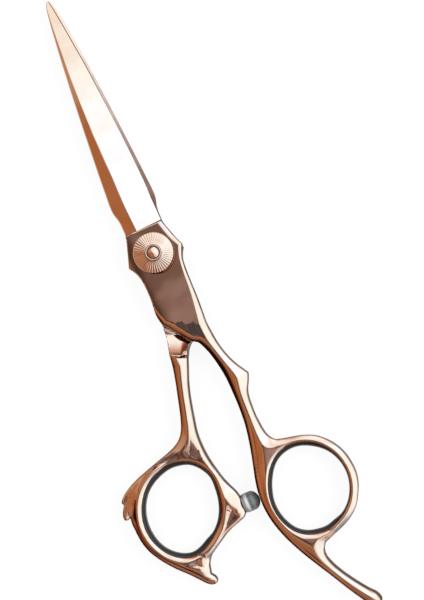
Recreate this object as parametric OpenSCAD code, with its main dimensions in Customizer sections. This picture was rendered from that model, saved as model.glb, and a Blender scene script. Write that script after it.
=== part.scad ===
// Hair cutting shears, lying closed on the back of the pivot bolt and the two rings.
// The origin is on the pivot axis in the plane they lie on. +Y runs to the blade tips,
// +Z to the side of the tension dial. The finger half lies over the thumb half.

/* [Blades] */
// Length of each blade from the pivot to its tip
blade_len = 71.5; // [64:0.5:80]
// Width of each blade at its widest, near its root
blade_w = 10.8; // [9.8:0.1:11.6]
// Slope of the wide ground facet, in degrees
facet_angle = 19; // [15:0.5:20]
// Slope of the narrow facet along the spine, in degrees
spine_angle = 16; // [10:0.5:20]
// Thickness left at the cutting edge
edge_t = 0.2; // [0.1:0.05:0.4]
// How much narrower the thumb half is on each side at its blade and plate
rear_inset = 0.4; // [0:0.1:0.6]

/* [Plates] */
// Thickness of the flat plate of each half
plate_t = 2.6; // [2.4:0.1:3.2]
// Width of a plate across its straight flanks
plate_w = 11.2; // [10.4:0.1:12]
// Width of a plate across the horns beside the pivot
horn_w = 15.1; // [13.5:0.1:16.5]
// Distance from the pivot to the line where the blade begins
plate_top = 7.2; // [6.6:0.1:8]
// Distance from the pivot to the end of the plate at the shank
plate_len = 26; // [25:0.2:27]
// Gap between the two halves where they lap
lap_gap = 0.1; // [0.06:0.02:0.2]
// Room between the end of one plate and the raised shank of the other half
lap_clear = 0.35; // [0.25:0.05:0.5]
// Radius about the pivot at which the shanks begin to rise out of the lap
knuckle_r = 21.2; // [20:0.1:22]
// Length of that rise
knuckle_run = 6.2; // [5:0.1:7]

/* [Rings] */
// Distance of the finger ring's centre to the right of the pivot
finger_x = 12.8; // [11.8:0.1:13.8]
// Distance of the finger ring's centre below the pivot
finger_drop = 69.75; // [68.5:0.25:72]
// Distance of the thumb ring's centre to the left of the pivot
thumb_x = 19.7; // [18.7:0.1:20.7]
// Distance of the thumb ring's centre below the pivot
thumb_drop = 62.65; // [61.4:0.25:64]
// Half width of the finger ring's metal hole
finger_a = 10.7; // [9.5:0.1:11.2]
// Half length of the finger ring's metal hole
finger_b = 11.75; // [10.5:0.05:12.5]
// Half width of the thumb ring's metal hole
thumb_a = 10.6; // [9.5:0.1:11.2]
// Half length of the thumb ring's metal hole
thumb_b = 11.95; // [10.5:0.05:12.5]
// Lean of the thumb ring's long axis, in degrees
thumb_lean = -7; // [-10:1:0]
// Radial width of a ring's metal
ring_w = 1.6; // [1.4:0.1:2]
// Half thickness of a shank, as a share of the half thickness of a ring
shank_share = 0.78; // [0.65:0.01:0.9]
// Width of a shank halfway from its plate to its ring
shank_w = 3.4; // [3:0.1:3.8]
// Width of a strand where it runs along a ring
strand_w = 2.3; // [2:0.1:2.6]
// Width of the little-finger tang at its end
tang_w = 3.6; // [3:0.1:4.4]
// Length of the tang below the finger ring's hole
tang_len = 22.2; // [18:0.2:26]

/* [Finger inserts] */
// Radial thickness of an insert inside the metal hole
insert_t = 1; // [0.7:0.05:1.4]
// Depth of the groove that holds an insert
groove_d = 0.45; // [0.3:0.05:0.6]
// Half height of that groove
groove_h = 1; // [0.8:0.1:1.4]
// Room between an insert and its ring
insert_clear = 0.05; // [0.03:0.01:0.1]

/* [Bumper] */
// Diameter of the bumper
bumper_d = 5; // [4.4:0.1:5.6]
// Length of the bumper from its boss to its tip
bumper_len = 4.8; // [4:0.1:5.4]
// Room between the bumper and the finger ring when closed
bumper_gap = 0.15; // [0.1:0.05:0.4]
// Diameter of the bumper's stud
stud_d = 2.2; // [1.8:0.1:2.6]
// Depth of the stud in its boss
stud_depth = 2.4; // [1.8:0.1:2.8]
// Room round the stud
stud_clear = 0.02; // [0.01:0.01:0.05]

/* [Pivot] */
// Diameter of the bolt's journal
journal_d = 5; // [4.4:0.1:5.6]
// Radial running clearance of the journal
run_clear = 0.03; // [0.02:0.01:0.08]
// Wall of the bush
bush_wall = 0.7; // [0.5:0.05:1]
// Diameter of the bolt's head
head_d = 9; // [8.4:0.1:9.6]
// Thickness of the bolt's head
head_t = 1.1; // [0.9:0.05:1.4]
// How far the head stands out of the thumb half's back
head_proud = 0.25; // [0.1:0.05:0.4]
// Distance between the two flats that key the bolt
key_w = 4.4; // [4:0.1:4.8]
// Thickness of the thrust washer
thrust_t = 0.6; // [0.4:0.05:0.8]
// Diameter of the thrust washer
thrust_d = 9.4; // [8.4:0.1:10]
// Clearance between flat faces that slide on each other
face_clear = 0.02; // [0.01:0.01:0.05]
// Clearance of pressed and keyed pieces
seat_clear = 0.02; // [0.01:0.01:0.05]

/* [Dial] */
// Diameter of the dial
dial_d = 10.5; // [9.8:0.1:11.4]
// Height of the dial's rim
dial_t = 2.2; // [1.9:0.05:2.6]
// Rise of the dial's fluted top from its rim to its hub
dial_rise = 0.3; // [0.1:0.05:0.6]
// Number of flutes on the dial
flutes = 44; // [36:2:52]
// Depth of a flute
flute_d = 0.22; // [0.1:0.02:0.3]
// Wall of the dial's skirt
skirt_wall = 0.9; // [0.7:0.05:1.2]
// Height of the hollow under the dial
hollow_h = 1.15; // [1.1:0.05:1.4]
// Diameter of the bolt's thread
thread_d = 3.2; // [2.8:0.1:3.4]
// Wall of the threaded bush in the dial
nut_wall = 0.5; // [0.4:0.05:0.7]
// Clearance of the dial's thread
thread_clear = 0.06; // [0.04:0.01:0.1]
// Height of the hub ring above the dial
hub_h = 0.3; // [0.2:0.05:0.5]
// Thickness of the washer under the dial
base_t = 0.4; // [0.3:0.05:0.6]
// Thickness of the click plate
click_t = 0.3; // [0.2:0.05:0.35]
// Thickness of the conical spring
spring_t = 0.2; // [0.15:0.05:0.3]

/* [Hidden] */
$fn = 64;

ROSE = [0.80, 0.50, 0.36];
STEEL = [0.70, 0.70, 0.70];
RUBBER = [0.08, 0.08, 0.09];

// Heights. The middle plane of the lap is also the middle plane of rings and shanks,
// and the rings are thick enough to lie on the same surface as the bolt's head.
rear_back = head_proud;
rear_face = rear_back + plate_t;
front_face = rear_face + lap_gap;
front_top = front_face + plate_t;
z_mid = rear_face + lap_gap / 2;
ring_h = z_mid;
shank_h = shank_share * ring_h;
handle_t = 2 * ring_h;
above_all = 3 * handle_t;

// The pivot stack
bush_od = journal_d + 2 * run_clear + 2 * bush_wall;
base_z = front_top + face_clear;
click_z = base_z + base_t + face_clear;
dial_z = click_z;
hollow_top = dial_z + hollow_h;
dial_top = dial_z + dial_t;
hub_top = dial_top + dial_rise + hub_h;
hollow_d = dial_d - 2 * skirt_wall;
rim_round = 0.25;
nut_od = thread_d + 2 * thread_clear + 2 * nut_wall;
hollow_room = 0.3;
nib_r = 0.3;
nib_base_r = nib_r + 0.2;
nib_at = hollow_d / 2 - hollow_room - nib_base_r;
nib_reach = hollow_top - 2 * face_clear - click_z;
spring_r = nib_at - nib_base_r - 0.15;

// Blade stations: share of the way from plate to tip, then the spine, ridge and edge as shares of blade_w
blade_rows = [
    [0.00, 0.480, 0.190, 0.455],
    [0.05, 0.485, 0.205, 0.450],
    [0.11, 0.555, 0.220, 0.440],
    [0.20, 0.530, 0.220, 0.425],
    [0.36, 0.460, 0.230, 0.380],
    [0.52, 0.385, 0.220, 0.315],
    [0.67, 0.305, 0.195, 0.255],
    [0.82, 0.215, 0.145, 0.160],
    [0.92, 0.145, 0.105, 0.090],
    [0.98, 0.085, 0.065, 0.040],
    [1.00, 0.040, 0.030, 0.010],
];

// Plate outline: both flanks of the finger half from the blade down to the shank
flank = plate_w / 2;
horn = horn_w / 2;
inner_flank = [
    [-blade_rows[0][1] * blade_w, plate_top],
    [-0.82 * horn, 0.47 * plate_top],
    [-1.02 * horn, -0.04 * plate_len],
    [-1.1 * flank, -0.135 * plate_len],
    [-flank, -0.27 * plate_len],
    [-flank, -0.385 * plate_len],
    [-1.06 * flank, -0.558 * plate_len],
    [-0.97 * flank, -0.673 * plate_len],
    [-0.5 * flank, -0.796 * plate_len],
    [0, -0.938 * plate_len],
    [0.3 * flank, -plate_len],
];
outer_flank = [
    [0.98 * flank, -plate_len],
    [0.93 * flank, -0.808 * plate_len],
    [flank, -0.538 * plate_len],
    [1.04 * flank, -0.23 * plate_len],
    [1.1 * flank, -0.138 * plate_len],
    [0.98 * horn, -0.015 * plate_len],
    [0.84 * horn, 0.32 * plate_top],
    [blade_rows[0][3] * blade_w, plate_top],
];
plate_outline = concat(inner_flank, outer_flank);

// Rings: centre x and y, half width and half length of the metal hole, lean
finger_ring = [finger_x, -finger_drop, finger_a, finger_b, 0];
thumb_ring = [-thumb_x, -thumb_drop, thumb_a, thumb_b, thumb_lean];

// Shanks: offset as a share of the ring's, distance down as a share of the way to the ring's hole, and
// half width as a share of shank_w, from inside the plate to the ring's web
finger_shank = [
    [0.172, 0.328, 0.647],
    [0.258, 0.414, 0.559],
    [0.328, 0.483, 0.515],
    [0.398, 0.543, 0.515],
    [0.5, 0.607, 0.706],
    [0.547, 0.641, 0.838],
    [0.523, 0.676, 0.706],
    [0.469, 0.724, 0.544],
    [0.453, 0.784, 0.485],
    [0.437, 0.845, 0.5],
];
thumb_shank = [
    [0.183, 0.355, 0.647],
    [0.198, 0.434, 0.647],
    [0.218, 0.503, 0.706],
    [0.264, 0.562, 0.588],
    [0.33, 0.641, 0.5],
    [0.396, 0.73, 0.485],
    [0.447, 0.809, 0.5],
    [0.492, 0.878, 0.544],
];

// Strands that run along the rings: angle round the ring, then distance out from its hole and half width
// as shares of strand_w
finger_left_strand = [
    [114, 3.174, 0.717],
    [123, 2.087, 0.696],
    [137, 1.109, 0.652],
    [154, 0.609, 0.609],
    [170, 0.478, 0.5],
    [186, 0.478, 0.478],
    [204, 0.565, 0.522],
    [222, 0.913, 0.609],
    [238, 1.609, 0.696],
];
finger_top_strand = [
    [109, 4.13, 0.565],
    [110, 2.435, 0.5],
    [106, 1.174, 0.457],
    [96, 0.478, 0.391],
    [82, 0.348, 0.304],
];
thumb_right_strand = [
    [62, 2.696, 0.565],
    [55, 1.826, 0.522],
    [45, 1.043, 0.5],
    [33, 0.609, 0.478],
    [20, 0.565, 0.478],
    [8, 0.826, 0.478],
    [357, 1.348, 0.565],
    [347, 1.435, 0.565],
    [337, 1.13, 0.435],
    [325, 0.565, 0.348],
    [311, 0.304, 0.326],
    [299, 0.348, 0.326],
    [288, 0.739, 0.326],
    [282, 1.522, 0.304],
    [279, 2.348, 0.239],
];
thumb_feather_strand = [
    [66, 4, 0.609],
    [71, 2.652, 0.565],
    [77, 1.609, 0.522],
    [87, 0.783, 0.478],
    [102, 0.391, 0.457],
    [120, 0.348, 0.457],
    [135, 0.609, 0.522],
    [148, 1.043, 0.609],
    [160, 1.391, 0.478],
    [168, 1.565, 0.391],
    [173, 1.63, 0.217],
];
thumb_lobe_strand = [
    [130, 0.696, 0.304],
    [144, 1.13, 0.37],
    [154, 1.522, 0.326],
    [158, 1.696, 0.196],
];
thumb_tail_strand = [
    [190, 0.435, 0.435],
    [210, 0.478, 0.457],
    [229, 0.522, 0.478],
    [249, 0.87, 0.5],
    [264, 1.652, 0.522],
    [274, 2.696, 0.522],
    [279, 3.261, 0.457],
    [281, 3.522, 0.217],
];

// The tang: offset from the finger ring's centre as a share of finger_a, distance below its hole as a
// share of tang_len, and half width as a share of tang_w, to its rounded end
tang_rows = [
    [-0.439, 0.3, 0.45],
    [-0.234, 0.47, 0.4],
    [-0.019, 0.65, 0.42],
    [0.196, 0.82, 0.47],
    [0.346, 0.93, 0.5],
    [0.421, 0.98, 0.4],
    [0.458, 1, 0.2],
];
tang_strand = [
    [-0.243, 0.44, 0.32],
    [-0.346, 0.25, 0.36],
    [-0.299, 0.12, 0.34],
    [-0.075, 0.05, 0.28],
    [0.206, 0.01, 0.22],
];

// Thin webs between the strands: angle round each ring, distance out from its hole as a share of strand_w
web_h = 0.5 * ring_h;
finger_webs = [
    [[112, 3.696], [122, 2.174], [145, 0.522], [120, 0.261], [92, 0.261], [105, 1.304], [110, 2.609]],
    [[225, 0.652], [240, 1.739], [248, 2.609], [258, 1.304], [270, 0.261], [245, 0.261]],
];
thumb_webs = [
    [[67, 3.696], [74, 1.957], [95, 0.261], [70, 0.261], [40, 0.261], [50, 1.304], [60, 2.609]],
    [[8, 0.435], [352, 1.565], [342, 1.565], [320, 0.261], [345, 0.261]],
    [[245, 0.522], [268, 2.087], [276, 2.783], [281, 1.522], [295, 0.261], [270, 0.261]],
];

// Point on a ring: angle round its hole, distance out from the hole's wall
function on_ring(ring, angle, out) =
    let (
        side = [ring[3] * cos(angle), ring[2] * sin(angle)],
        p = [ring[2] * cos(angle), ring[3] * sin(angle)] + out * side / norm(side),
        lean = ring[4]
    )
    [ring[0] + p.x * cos(lean) - p.y * sin(lean), ring[1] + p.x * sin(lean) + p.y * cos(lean)];

// Stations x, y, half width, half height from rows of a shank, of a strand and of the tang
function shank_stations(rows, x, way) = [for (r = rows) [r[0] * x, -r[1] * way, r[2] * shank_w, shank_h]];
function strand_stations(ring, rows, h) =
    [for (r = rows)
        concat(on_ring(ring, r[0], r[1] * strand_w), [r[2] * strand_w, h * min(1, 0.5 + 1.15 * r[2])])];
function tang_stations(rows) =
    [for (r = rows) [finger_x + r.x * finger_a, -finger_drop - finger_b - r.y * tang_len,
        r[2] * tang_w, shank_h * min(1, 0.2 + 2 * r[2])]];

// A smooth run of stations through the given ones
smooth_steps = 2;
function spline(a, b, c, d, t) =
    0.5 * (2 * b + (c - a) * t + (2 * a - 5 * b + 4 * c - d) * t * t + (3 * b - a - 3 * c + d) * t * t * t);
function smooth(s) =
    let (last = len(s) - 1)
    concat(
        [for (i = [0 : last - 1], k = [0 : smooth_steps - 1])
            spline(s[max(i - 1, 0)], s[i], s[i + 1], s[min(i + 2, last)], k / smooth_steps)],
        [s[last]]
    );

// Faces of a body whose sections have m points each, at n stations, with closed ends
function loft_faces(n, m) = concat(
    [[for (k = [m - 1 : -1 : 0]) k]],
    [for (i = [0 : n - 2], k = [0 : m - 1])
        let (a = i * m + k, b = i * m + (k + 1) % m)
        each [[a, b, b + m], [a, b + m, a + m]]],
    [[for (k = [0 : m - 1]) (n - 1) * m + k]]
);

// Faces of a body whose sections run round a closed loop
function loop_faces(n, m) =
    [for (i = [0 : n - 1], k = [0 : m - 1])
        let (j = (i + 1) % n, k2 = (k + 1) % m)
        each [[i * m + k, i * m + k2, j * m + k2], [i * m + k, j * m + k2, j * m + k]]];

// Round bar through stations of x, y, half width and half height
bar_sides = 10;
module bar(rows) {
    s = smooth(rows);
    last = len(s) - 1;
    points = [for (i = [0 : last], k = [0 : bar_sides - 1])
        let (
            run = s[min(i + 1, last)] - s[max(i - 1, 0)],
            along = [run.x, run.y] / norm([run.x, run.y]),
            w = s[i][2] * cos(360 * (k + 0.5) / bar_sides),
            h = s[i][3] * sin(360 * (k + 0.5) / bar_sides)
        )
        [s[i].x + along.y * w, s[i].y - along.x * w, z_mid + h]];
    polyhedron(points, loft_faces(last + 1, bar_sides));
}

// Body of one section, given as distance out and height, carried round a ring
ring_steps = 48;
module oval_ring(ring, section) {
    points = [for (i = [0 : ring_steps - 1], p = section)
        concat(on_ring(ring, 360 * i / ring_steps, p.x), [z_mid + p.y])];
    polyhedron(points, loop_faces(ring_steps, len(section)));
}

// Metal of a ring, with the groove for its insert in its inner wall
half_section = [[0.22, 0.93], [0.5, 1], [0.78, 0.9], [0.95, 0.55]];
module ring_metal(ring) {
    wall = 0.76 * ring_h;
    upper = [for (p = half_section) [p.x * ring_w, p.y * ring_h]];
    lower = [for (p = half_section) [p.x * ring_w, -p.y * ring_h]];
    oval_ring(ring, concat(
        [[0, -wall]], lower, [[ring_w, 0]], [for (i = [len(upper) - 1 : -1 : 0]) upper[i]],
        [[0, wall], [0, groove_h], [groove_d, groove_h], [groove_d, -groove_h], [0, -groove_h]]
    ));
}

// Room inside a ring that its strands and webs stay out of, a little past the groove
room_margin = 0.1;
module ring_room(ring) {
    out = groove_d + room_margin;
    outline = [for (i = [0 : ring_steps - 1]) on_ring(ring, 360 * i / ring_steps, out)];
    translate([0, 0, -handle_t])
        linear_extrude(above_all)
            polygon(outline);
}

module web(ring, rows) {
    translate([0, 0, z_mid - web_h])
        linear_extrude(2 * web_h)
            polygon([for (r = rows) on_ring(ring, r[0], r[1] * strand_w)]);
}

// The finger half's side of the lap, turned over for the thumb half
module turned() {
    translate([0, 0, 2 * z_mid])
        rotate([0, 180, 0])
            children();
}

// Ground blade of the finger half
module blade(inset) {
    points = [for (r = blade_rows)
        let (
            y = plate_top + r[0] * (blade_len - plate_top),
            spine = -r[1] * blade_w + inset * (1 - r[0]),
            ridge = -r[2] * blade_w,
            edge = r[3] * blade_w,
            ridge_h = edge_t + (edge - ridge) * tan(facet_angle),
            spine_h = ridge_h - (ridge - spine) * tan(spine_angle)
        )
        each [
            [spine, y, front_face],
            [edge, y, front_face],
            [edge, y, front_face + edge_t],
            [ridge, y, front_face + ridge_h],
            [spine, y, front_face + spine_h],
        ]];
    polyhedron(points, loft_faces(len(blade_rows), 5));
}

module plate(inset) {
    translate([0, 0, front_face])
        linear_extrude(plate_t)
            polygon([for (p = plate_outline) [p.x * (1 - inset / horn), p.y]]);
}

// What the thumb half's lap and the end of its plate keep clear, below the finger half's face
module lap_room() {
    translate([0, 0, z_mid])
        rotate([180, 0, 0])
            rotate_extrude()
                polygon(concat(
                    [[0, -lap_gap / 2], [knuckle_r, -lap_gap / 2]],
                    [for (s = [0.2 : 0.2 : 1])
                        [knuckle_r + s * knuckle_run, -lap_gap / 2 + ring_h * (1 - sqrt(1 - s * s))]],
                    [[knuckle_r + knuckle_run, handle_t], [0, handle_t]]
                ));
    translate([0, 0, z_mid - handle_t])
        linear_extrude(handle_t)
            mirror([1, 0])
                offset(delta = lap_clear)
                    polygon(plate_outline);
}

// The finger half's long bar: shank, left strand of the ring and tang
finger_bar = concat(
    shank_stations(finger_shank, finger_x, finger_drop - finger_b),
    strand_stations(finger_ring, finger_left_strand, shank_h),
    tang_stations(tang_rows)
);

// Forged handle of the finger half: shank, ring, webs and tang
module finger_handle() {
        union() {
            difference() {
                union() {
                    bar(finger_bar);
                    bar(strand_stations(finger_ring, finger_top_strand, shank_h));
                    bar(tang_stations(tang_strand));
                    for (w = finger_webs)
                        web(finger_ring, w);
                }
                lap_room();
                ring_room(finger_ring);
            }
            ring_metal(finger_ring);
        }
}

// The bumper's boss stands on the thumb ring, and the bumper ends short of the finger half beside it
boss_y = on_ring(thumb_ring, 350, bumper_d).y;
stop_x = min([for (s = smooth(finger_bar)) if (abs(s.y - boss_y) < bumper_d / 2) s.x - s[2]]);
boss_x = stop_x - bumper_gap - bumper_len;
boss_d = 0.94 * bumper_d;
boss_len = boss_x - on_ring(thumb_ring, 350, ring_w / 2).x;
module along_bumper(x) {
    translate([x, boss_y, z_mid])
        rotate([0, 90, 0])
            children();
}

// Forged handle of the thumb half: shank, ring, webs, feather, tail and boss
module thumb_handle() {
        union() {
            difference() {
                union() {
                    bar(concat(
                        shank_stations(thumb_shank, -thumb_x, thumb_drop - thumb_b),
                        strand_stations(thumb_ring, thumb_right_strand, shank_h)
                    ));
                    bar(strand_stations(thumb_ring, thumb_feather_strand, shank_h));
                    bar(strand_stations(thumb_ring, thumb_lobe_strand, shank_h));
                    bar(strand_stations(thumb_ring, thumb_tail_strand, shank_h));
                    for (w = thumb_webs)
                        web(thumb_ring, w);
                    along_bumper(boss_x - boss_len)
                        cylinder(d1 = 0.7 * boss_d, d2 = boss_d, h = boss_len, $fn = 24);
                }
                turned()
                    lap_room();
                ring_room(thumb_ring);
            }
            ring_metal(thumb_ring);
        }
}

// A bolt section with two flats
module keyed(d, flats, h) {
    intersection() {
        cylinder(d = d, h = h);
        translate([-flats / 2, -d, 0])
            cube([flats, 2 * d, h]);
    }
}

module finger_half() {
    color(ROSE)
        difference() {
            union() {
                plate(0);
                blade(0);
                finger_handle();
            }
            translate([0, 0, front_face - 1])
                cylinder(d = bush_od + 2 * seat_clear, h = plate_t + 2);
        }
}

module thumb_half() {
    color(ROSE)
        difference() {
            union() {
                turned() {
                    plate(rear_inset);
                    blade(rear_inset);
                }
                thumb_handle();
            }
            translate([0, 0, rear_back - 1])
                cylinder(d = head_d + 2 * seat_clear, h = head_t - rear_back + 1 + seat_clear);
            translate([0, 0, rear_back])
                keyed(journal_d + 2 * seat_clear, key_w + 2 * seat_clear, plate_t);
            translate([0, 0, front_face - face_clear - thrust_t])
                cylinder(d = thrust_d + 2 * seat_clear, h = thrust_t + 1);
            along_bumper(boss_x - stud_depth)
                cylinder(d = stud_d + 2 * stud_clear, h = stud_depth + 1);
        }
}

// Rubber ring that sits in the groove of a metal ring
module insert(ring) {
    h = 0.9 * ring_h;
    rib_h = groove_h - insert_clear;
    rib_x = groove_d - insert_clear;
    color(RUBBER)
        oval_ring(ring, [
            [-insert_t, -0.5 * h],
            [-0.75 * insert_t, -0.88 * h],
            [-0.35 * insert_t, -h],
            [-insert_clear, -0.93 * h],
            [-insert_clear, -rib_h],
            [rib_x, -rib_h],
            [rib_x, rib_h],
            [-insert_clear, rib_h],
            [-insert_clear, 0.93 * h],
            [-0.35 * insert_t, h],
            [-0.75 * insert_t, 0.88 * h],
            [-insert_t, 0.5 * h],
        ]);
}

module finger_insert() {
    insert(finger_ring);
}

module thumb_insert() {
    insert(thumb_ring);
}

// Stud with a button head inside the bumper
button_t = 0.7;
button_x = 0.45 * bumper_len;
module stud_shape(grow) {
    along_bumper(boss_x - stud_depth + face_clear)
        cylinder(d = stud_d + 2 * grow, h = stud_depth + button_x);
    along_bumper(boss_x + button_x - grow)
        cylinder(d = 1.5 * stud_d + 2 * grow, h = button_t + 2 * grow);
}

module bumper_stud() {
    color(STEEL)
        stud_shape(0);
}

// Domed bumper over its stud
module bumper() {
    r = bumper_d / 2;
    dome = 0.4 * bumper_len;
    color([0.55, 0.57, 0.58])
        difference() {
            along_bumper(boss_x + face_clear)
                rotate_extrude()
                    polygon(concat(
                        [[0, 0], [0.92 * r, 0], [r, 0.1 * bumper_len]],
                        [for (a = [0 : 15 : 75])
                            [r * cos(a), bumper_len - face_clear - dome + dome * sin(a)]],
                        [[0, bumper_len - face_clear]]
                    ));
            stud_shape(stud_clear);
        }
}

// Bolt: head, keyed neck in the thumb half, journal, keyed neck under the dial, thread, domed end
neck_d = thread_d + 0.8;
neck_flats = thread_d;
head_chamfer = 0.3;
dome_h = 0.5;
thread_top = hub_top - 0.2;
module pivot_bolt() {
    neck_z = base_z + base_t;
    thread_z = hollow_top - spring_t;
    color(ROSE) {
        cylinder(d1 = head_d - 2 * head_chamfer, d2 = head_d, h = head_chamfer);
        translate([0, 0, head_chamfer])
            cylinder(d = head_d, h = head_t - head_chamfer);
        keyed(journal_d, key_w, front_face - thrust_t - face_clear);
        translate([0, 0, front_face - thrust_t - face_clear])
            cylinder(d = journal_d, h = neck_z - front_face + thrust_t + face_clear);
        keyed(neck_d, neck_flats, thread_z);
        cylinder(d = thread_d, h = thread_top);
        translate([0, 0, thread_top])
            cylinder(d1 = 0.86 * thread_d, d2 = 0.5 * thread_d, h = dome_h);
    }
}

module washer(z, t, d, bore) {
    translate([0, 0, z])
        difference() {
            cylinder(d = d, h = t);
            translate([0, 0, -1])
                cylinder(d = bore, h = t + 2);
        }
}

module pivot_bush() {
    color("goldenrod")
        washer(front_face + face_clear, plate_t - 2 * face_clear, bush_od, journal_d + 2 * run_clear);
}

module thrust_washer() {
    color("ivory")
        washer(front_face - thrust_t, thrust_t - face_clear, thrust_d, journal_d + 2 * run_clear);
}

module base_washer() {
    color("ivory")
        washer(base_z, base_t, dial_d - 2 * rim_round, journal_d + 2 * run_clear);
}

// Click plate with two nibs that reach for the pockets under the dial
module click_plate() {
    color(STEEL)
        difference() {
            translate([0, 0, click_z]) {
                cylinder(d = hollow_d - 2 * hollow_room, h = click_t);
                for (side = [-1, 1])
                    translate([side * nib_at, 0, 0])
                        cylinder(r1 = nib_base_r, r2 = 0.5 * nib_r, h = nib_reach);
            }
            translate([0, 0, click_z - 1])
                keyed(neck_d + 2 * seat_clear, neck_flats + 2 * seat_clear, click_t + 2);
        }
}

// Conical spring between the click plate and the dial
module spring_washer() {
    z = click_z + click_t + face_clear;
    rise = hollow_top - face_clear - z - spring_t;
    bore_r = neck_d / 2 + seat_clear;
    color(STEEL)
        rotate_extrude()
            polygon([
                [bore_r, z + rise],
                [spring_r, z],
                [spring_r, z + spring_t],
                [bore_r, z + rise + spring_t],
            ]);
}

// Dial with flutes on its top, a skirt round the click plate and pockets for its nibs
pockets = 12;
pocket_d = 0.25;
flute_start = nut_od / 2 + 0.6;
flute_fall = atan(dial_rise / (dial_d / 2 - nut_od / 2));
module tension_dial() {
    color(ROSE)
        difference() {
            rotate_extrude()
                polygon([
                    [0, hollow_top],
                    [hollow_d / 2, hollow_top],
                    [hollow_d / 2, dial_z],
                    [dial_d / 2 - rim_round, dial_z],
                    [dial_d / 2, dial_z + rim_round],
                    [dial_d / 2, dial_top - rim_round],
                    [dial_d / 2 - rim_round, dial_top],
                    [nut_od / 2 + 0.3, dial_top + dial_rise],
                    [0, dial_top + dial_rise],
                ]);
            cylinder(d = nut_od + 2 * seat_clear, h = above_all);
            for (i = [0 : flutes - 1])
                rotate(360 * i / flutes)
                    translate([flute_start, 0, dial_top + 0.9 * dial_rise])
                        rotate([45, flute_fall, 0])
                            translate([0, -flute_d / 2, -flute_d / 2])
                                cube([dial_d, flute_d, flute_d]);
            for (i = [0 : pockets - 1])
                rotate(360 * i / pockets)
                    translate([nib_at, 0, hollow_top - 1])
                        cylinder(r = nib_r, h = 1 + pocket_d);
        }
}

// Threaded bush pressed in the dial, proud of it as a hub ring
module dial_bush() {
    color(ROSE)
        washer(hollow_top, hub_top - hollow_top, nut_od, thread_d + 2 * thread_clear);
}

finger_half();
thumb_half();
finger_insert();
thumb_insert();
bumper();
bumper_stud();
pivot_bolt();
pivot_bush();
thrust_washer();
base_washer();
click_plate();
spring_washer();
tension_dial();
dial_bush();
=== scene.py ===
# %% [markdown]
# # Hair cutting shears in a studio
# The shears are two forged halves that turn on one bolt. The solids come packed and stay fixed, and this
# lesson dresses them: bevelled forgings, ground blades, a fluted dial, rubber rings and a silicone bumper.
# Every piece is built in the frame of the solids, so nothing has to be fitted afterwards.

# %% Load the fixed frame
import math

import bpy
import numpy as np
from mathutils import Matrix, Vector


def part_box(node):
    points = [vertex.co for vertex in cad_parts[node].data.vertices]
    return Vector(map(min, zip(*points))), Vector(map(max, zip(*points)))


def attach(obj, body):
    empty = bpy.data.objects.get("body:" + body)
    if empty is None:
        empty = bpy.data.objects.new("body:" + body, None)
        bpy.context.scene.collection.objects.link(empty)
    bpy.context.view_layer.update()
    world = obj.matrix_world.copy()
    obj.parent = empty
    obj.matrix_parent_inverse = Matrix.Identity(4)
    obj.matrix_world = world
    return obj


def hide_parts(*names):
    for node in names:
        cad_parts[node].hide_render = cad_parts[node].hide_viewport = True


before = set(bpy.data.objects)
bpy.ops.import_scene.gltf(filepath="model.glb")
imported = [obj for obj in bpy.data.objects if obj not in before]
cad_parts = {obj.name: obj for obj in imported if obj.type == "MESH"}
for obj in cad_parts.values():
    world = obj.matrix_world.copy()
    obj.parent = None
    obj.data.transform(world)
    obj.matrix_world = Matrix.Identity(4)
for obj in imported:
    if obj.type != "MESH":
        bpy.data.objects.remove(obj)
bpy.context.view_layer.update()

# %% [markdown]
# ## Heights and radii
# All sizes below are in millimetres, as a toolmaker would write them, and become metres only when a mesh is
# made. The two halves lap at the pivot: each plate takes one side of the middle plane, while shanks and rings
# are as thick on both sides of it.

# %% Heights of the lap and radii of the pivot
MM = 0.001
Z_MID = 2.9
FRONT_FACE, REAR_FACE = 2.95, 2.85
PLATE_T = 2.6
FRONT_TOP, REAR_BACK = FRONT_FACE + PLATE_T, REAR_FACE - PLATE_T
LAP_CLEAR = 0.35
BUSH_HOLE_R, BOLT_HOLE_R = 3.25, 2.52
HEAD_R, HEAD_POCKET_Z = 4.52, 1.12
WASHER_R, WASHER_T = 4.72, 0.62
print("lap between", REAR_FACE, "and", FRONT_FACE, "mm")

# %% [markdown]
# ## The camera
# A product photographer hangs the camera over the table and rolls it until the shears lie on the diagonal.
# Here that is a roll and a small tilt about a target on the shears, which keeps the numbers readable.
# The picture is 424 by 600 pixels, and the sensor's 36 mm lie along its long side.

# %% Hang the camera over the table
CAMERA_ROLL, CAMERA_TILT = math.radians(23.5), math.radians(6)
CAMERA_DISTANCE, CAMERA_LENS = 480.0, 112.94
CAMERA_TARGET = Vector((8.614, -16.598, 2.9))
picture_right = Vector((math.cos(CAMERA_ROLL), -math.sin(CAMERA_ROLL), 0))
picture_up = Vector((math.sin(CAMERA_ROLL), math.cos(CAMERA_ROLL), 0))
lean = (188 * picture_right - 80 * picture_up).normalized()
back = math.cos(CAMERA_TILT) * Vector((0, 0, 1)) + math.sin(CAMERA_TILT) * lean
side = (picture_right - back * picture_right.dot(back)).normalized()
camera_data = bpy.data.cameras.new("camera")
camera_data.lens = CAMERA_LENS
camera_data.sensor_width = 36
camera_data.clip_start, camera_data.clip_end = 0.01, 20
camera = bpy.data.objects.new("camera", camera_data)
bpy.context.scene.collection.objects.link(camera)
turn = Matrix((side, back.cross(side), back)).transposed().to_4x4()
camera.matrix_world = Matrix.Translation((CAMERA_TARGET + back * CAMERA_DISTANCE) * MM) @ turn
bpy.context.scene.camera = camera
print("camera at", [round(c, 4) for c in camera.location])

# %% [markdown]
# ## Small helpers for nodes and meshes
# Most materials need the same few lines: make a node, link two sockets, set a value. Meshes come from numpy
# arrays, because a forging with tens of thousands of points is slow to add one vertex at a time.

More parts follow.
